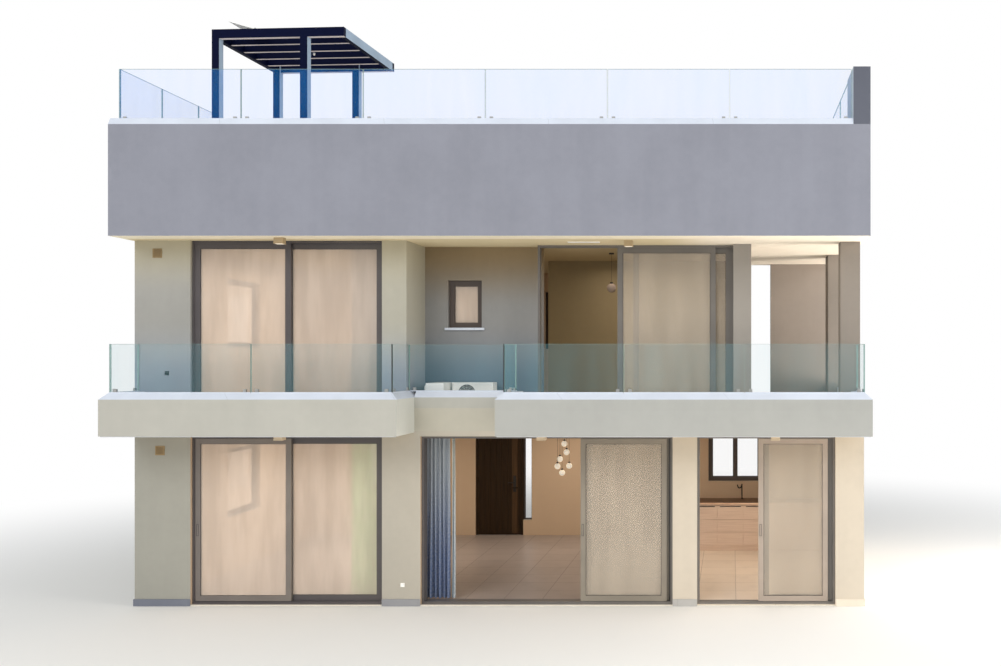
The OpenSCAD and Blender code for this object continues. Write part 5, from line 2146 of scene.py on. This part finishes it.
@dataclass(frozen=True)
class EntryDoorDress:
    """Upright boards, a stile and a lever on the inner face of the entry door."""

    palette: Palette
    boards: int = 7
    thick: float = 0.005
    margin: float = 0.03
    groove: float = 0.006
    stile_in: float = 0.07
    stile_w: float = 0.12
    leaf: float = 0.07
    plate_half: float = 0.03
    plate_z: tuple[float, float] = (0.93, 1.27)
    lever_z: float = 1.13
    lever_r: float = 0.011

    def build(self) -> None:
        """Lay the boards on the door's face."""
        low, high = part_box("entry_door")
        face = high.y - self.leaf
        left = low.x + self.margin
        right = high.x - self.margin
        pitch = (right - left) / self.boards
        corner = (left, face - self.thick, low.z + self.margin)
        other = (left + pitch - self.groove, face + 0.001, high.z - self.margin)
        board = Form.block("entry_board", corner, other).round_edges(0.0018, 2)
        places = [at(step * pitch, 0, 0) for step in range(self.boards)]
        boards = board.copies("entry_door_boards", places)
        boards.dress(self.palette.wood, "door_wood", "entry_door")
        self._stile(face, low, high)
        self._lever(face, high)

    def _stile(self, face: float, low: Vector, high: Vector) -> None:
        """Lay the paler stile along the closing edge, over the last board.

        Args:
            face: Place of the leaf's inner face.
            low: The door's corner at the front, left and floor.
            high: Its opposite corner.
        """
        corner = (high.x - self.stile_in - self.stile_w, face - 2 * self.thick, low.z + self.margin)
        other = (high.x - self.stile_in, face - self.thick + 0.001, high.z - self.margin)
        stile = Form.block("entry_door_stile", corner, other).round_edges(0.0018, 2)
        stile.dress(self.palette.pale_wood, "door_wood", "entry_door")

    def _lever(self, face: float, high: Vector) -> None:
        """Fix the lock plate and its lever to the stile.

        Args:
            face: Place of the leaf's inner face.
            high: The door's corner at the back, right and top.
        """
        x = high.x - self.stile_in - self.stile_w / 2
        top = face - 2 * self.thick
        z0, z1 = self.plate_z
        corner = (x - self.plate_half, top - 0.008, z0)
        plate = Form.block("lock_plate", corner, (x + self.plate_half, top + 0.001, z1))
        neck = Form.rod("neck", (x, top - 0.028, self.lever_z), self.lever_r, 0.05, Axis.Y, 16)
        hold = (x - 0.06, top - 0.05, self.lever_z)
        grip = Form.rod("grip", hold, self.lever_r, 0.15, Axis.X, 16)
        parts = [plate.round_edges(0.004, 2).thing, neck.round_edges(0.002).thing]
        parts.append(grip.round_edges(0.004).thing)
        lever = Form.joined("entry_door_lever", parts).smooth(50)
        lever.dress(self.palette.dark_metal, "frame_metal", "entry_door")


@dataclass(frozen=True)
class Pendant:
    """A small glass globe under a slim stem and a ceiling cup."""

    palette: Palette
    name: str
    x: float
    y: float
    z: float
    radius: float
    ceiling: float
    stem_r: float = 0.0025
    cup_r: float = 0.045
    cup_h: float = 0.024

    def build(self) -> tuple[bpy.types.Object, bpy.types.Object]:
        """Build the globe and its metal.

        Returns:
            The globe and the stem with its cups, not yet dressed.
        """
        globe = Form.ball(f"{self.name}_globe", (self.x, self.y, self.z), self.radius, 12)
        with globe.editing():
            globe.pick(lambda centre, normal: centre.z > self.z + self.radius * 0.93)
            bpy.ops.mesh.delete(type="FACE")
        globe.smooth(60)
        top = self.z + self.radius
        length = self.ceiling - top
        middle = (self.x, self.y, top + length / 2)
        stem = Form.rod("stem", middle, self.stem_r, length, Axis.Z, 8)
        cap = Form.rod("cap", (self.x, self.y, top + 0.008), self.radius * 0.34, 0.028, Axis.Z)
        middle = (self.x, self.y, self.ceiling - self.cup_h / 2)
        cup = Form.rod("cup", middle, self.cup_r, self.cup_h, Axis.Z, 24)
        parts = [stem.thing, cap.round_edges(0.003).thing, cup.round_edges(0.005).thing]
        return globe.thing, Form.joined(f"{self.name}_stem", parts).smooth(50).thing


@dataclass(frozen=True)
class PendantLamps:
    """The cluster over the living room and the single globe in the bedroom."""

    palette: Palette
    datum: Datum
    cluster_y: float = 0.3
    cluster_ring: float = 0.05
    cluster_r: float = 0.055
    bedroom_x: float = 1.496
    bedroom_in: float = 1.82
    bedroom_z: float = 4.946
    bedroom_r: float = 0.078
    drops: tuple[Point, ...] = field(
        default=(
            (0.490, 2.197),
            (0.545, 2.052),
            (0.418, 1.925),
            (0.581, 1.798),
            (0.382, 1.798),
            (0.450, 1.670),
        )
    )

    def build(self) -> None:
        """Hang all the globes."""
        globes = []
        stems = []
        for index, (x, z) in enumerate(self.drops):
            y = self.cluster_y + self.cluster_ring * math.cos(index * 2.4)
            lamp = Pendant(self.palette, "cluster", x, y, z, self.cluster_r, self.datum.ceiling)
            globe, stem = lamp.build()
            globes.append(globe)
            stems.append(stem)
        Form.joined("living_pendant_globes", globes).dress(self.palette.globe, "white_metal")
        Form.joined("living_pendant_stems", stems).dress(self.palette.dark_metal, "frame_metal")
        place = (self.bedroom_x, self.datum.front + self.bedroom_in, self.bedroom_z)
        lamp = Pendant(self.palette, "bedroom", *place, self.bedroom_r, self.datum.soffit)
        globe, stem = lamp.build()
        Form.joined("bedroom_pendant_globe", [globe]).dress(self.palette.dull_globe, "white_metal")
        Form.joined("bedroom_pendant_stem", [stem]).dress(self.palette.dark_metal, "frame_metal")


@dataclass(frozen=True)
class PergolaFittings:
    """Foot plates with bolts under the columns, and the small lamp under the slats."""

    palette: Palette
    turn: float = math.radians(-3.5)
    plate: float = 0.22
    plate_t: float = 0.012
    bolt_at: float = 0.09
    bolt_r: float = 0.011
    slat_drop: float = 0.12
    lamp_share: float = 0.525
    lamp_r: float = 0.02

    def build(self) -> None:
        """Bolt the columns down."""
        half = self.plate / 2
        plates = []
        bolts = []
        for column in solids_of("pergola_columns"):
            place = at(column.middle.x, column.middle.y, column.low.z)
            stand = place @ Matrix.Rotation(self.turn, 4, "Z")
            base = Form.block("foot_plate", (-half, -half, 0), (half, half, self.plate_t))
            plates.append(base.round_edges(0.003, 2).placed(stand).thing)
            middle = (0, 0, self.plate_t + 0.006)
            bolt = Form.rod("bolt", middle, self.bolt_r, 0.014, Axis.Z, 6).round_edges(0.002)
            ends = (-self.bolt_at, self.bolt_at)
            spots = [at(x, y, 0) for x in ends for y in ends]
            bolts.append(bolt.copies("bolts", [stand @ spot for spot in spots]).thing)
        Form.joined("pergola_foot_plates", plates).dress(self.palette.navy, "navy_metal")
        Form.joined("pergola_bolts", bolts).dress(self.palette.steel, "frame_metal")
        self._lamp()

    def _lamp(self) -> None:
        """Hang the small round lamp under the slats."""
        low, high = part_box("pergola_beams")
        top = high.z - self.slat_drop
        x = low.x + self.lamp_share * (high.x - low.x)
        y = (low.y + high.y) / 2
        body = Form.rod("pergola_lamp_cup", (x, y, top + 0.01), self.lamp_r, 0.03, Axis.Z, 24)
        body.round_edges(0.004).smooth(50).dress(self.palette.white_metal, "white_metal")
        lens = Form.ball("pergola_lamp_lens", (x, y, top - 0.004), self.lamp_r * 0.8, 8).smooth(60)
        lens.dress(self.palette.globe, "white_metal")


@dataclass(frozen=True)
class WindowBlind:
    """The drawn blind behind the small window of the recess, with its foot bar."""

    palette: Palette
    datum: Datum
    behind: float = 0.03
    thick: float = 0.004

    def build(self) -> None:
        """Hang the blind on the room side of the recess window."""
        rings = [ring for ring in solids_of("window_frames") if ring.thin_axis is Axis.Y]
        ring = min(rings, key=lambda solid: abs(solid.middle.y - self.datum.recess))
        back = ring.high.y + self.behind
        low = (ring.low.x + 0.01, back, ring.low.z + 0.01)
        high = (ring.high.x - 0.01, back + self.thick, ring.high.z + 0.03)
        cloth = Form.block("recess_blind", low, high).round_edges(0.0012, 2)
        cloth.dress(self.palette.blind, "curtain_cloth")
        foot_low = (low[0], back - 0.006, low[2] - 0.004)
        foot_high = (high[0], back + self.thick + 0.006, low[2] + 0.014)
        bar = Form.block("recess_blind_bar", foot_low, foot_high).round_edges(0.004, 2)
        bar.dress(self.palette.white_metal, "white_metal")


def split(box: Solid, share: float) -> tuple[Solid, Solid]:
    """Part a box in two along the front.

    Args:
        box: The box.
        share: Share of its width that the left part gets.

    Returns:
        The left part and the right part.
    """
    cut = box.low.x + share * box.size.x
    left = Solid(box.low, Vector((cut, *box.high.yz)))
    right = Solid(Vector((cut, *box.low.yz)), box.high)
    return left, right


def main() -> None:
    """Dress the house, piece by piece."""
    logging.basicConfig(level=logging.INFO, format="%(name)s %(message)s")
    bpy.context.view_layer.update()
    datum = Datum.read()
    palette = Palette.mix()
    PhotoCamera().make(datum)
    Studio().make(datum)
    CadFinishes(palette).dress()
    GlassGuards(palette).build()
    Glazing(palette).build()
    Sills(palette, datum).build()
    WallFittings(palette, datum).build()
    LampLenses(palette).build()
    units = solids_of("air_conditioners")
    AirConditioner(palette, "air_conditioner_left", units[0], Axis.X).build()
    AirConditioner(palette, "air_conditioner_right", units[1], Axis.Y).build()
    hung = sorted(solids_of("curtains"), key=lambda solid: solid.size.x)
    hung[1:] = sorted(hung[1:], key=lambda solid: solid.low.z)
    drape, lining = split(hung[0], DRAPE_SHARE)
    cloths = [
        (drape, "living_drape", 6, palette.drape),
        (lining, "living_lining", 2, palette.lining),
        (hung[1], "left_sheer", 7, palette.sheer),
        (hung[2], "upper_sheer", 7, palette.grey_sheer),
    ]
    for solid, name, folds, finish in cloths:
        flat = Curtain(palette, name, solid, folds, finish).build()
        log.info("%s: flat %.3f by %.3f m", name, *flat)
    Kitchen(palette).build()
    EntryDoorDress(palette).build()
    PendantLamps(palette, datum).build()
    PergolaFittings(palette).build()
    WindowBlind(palette, datum).build()


if __name__ == "__main__":
    main()
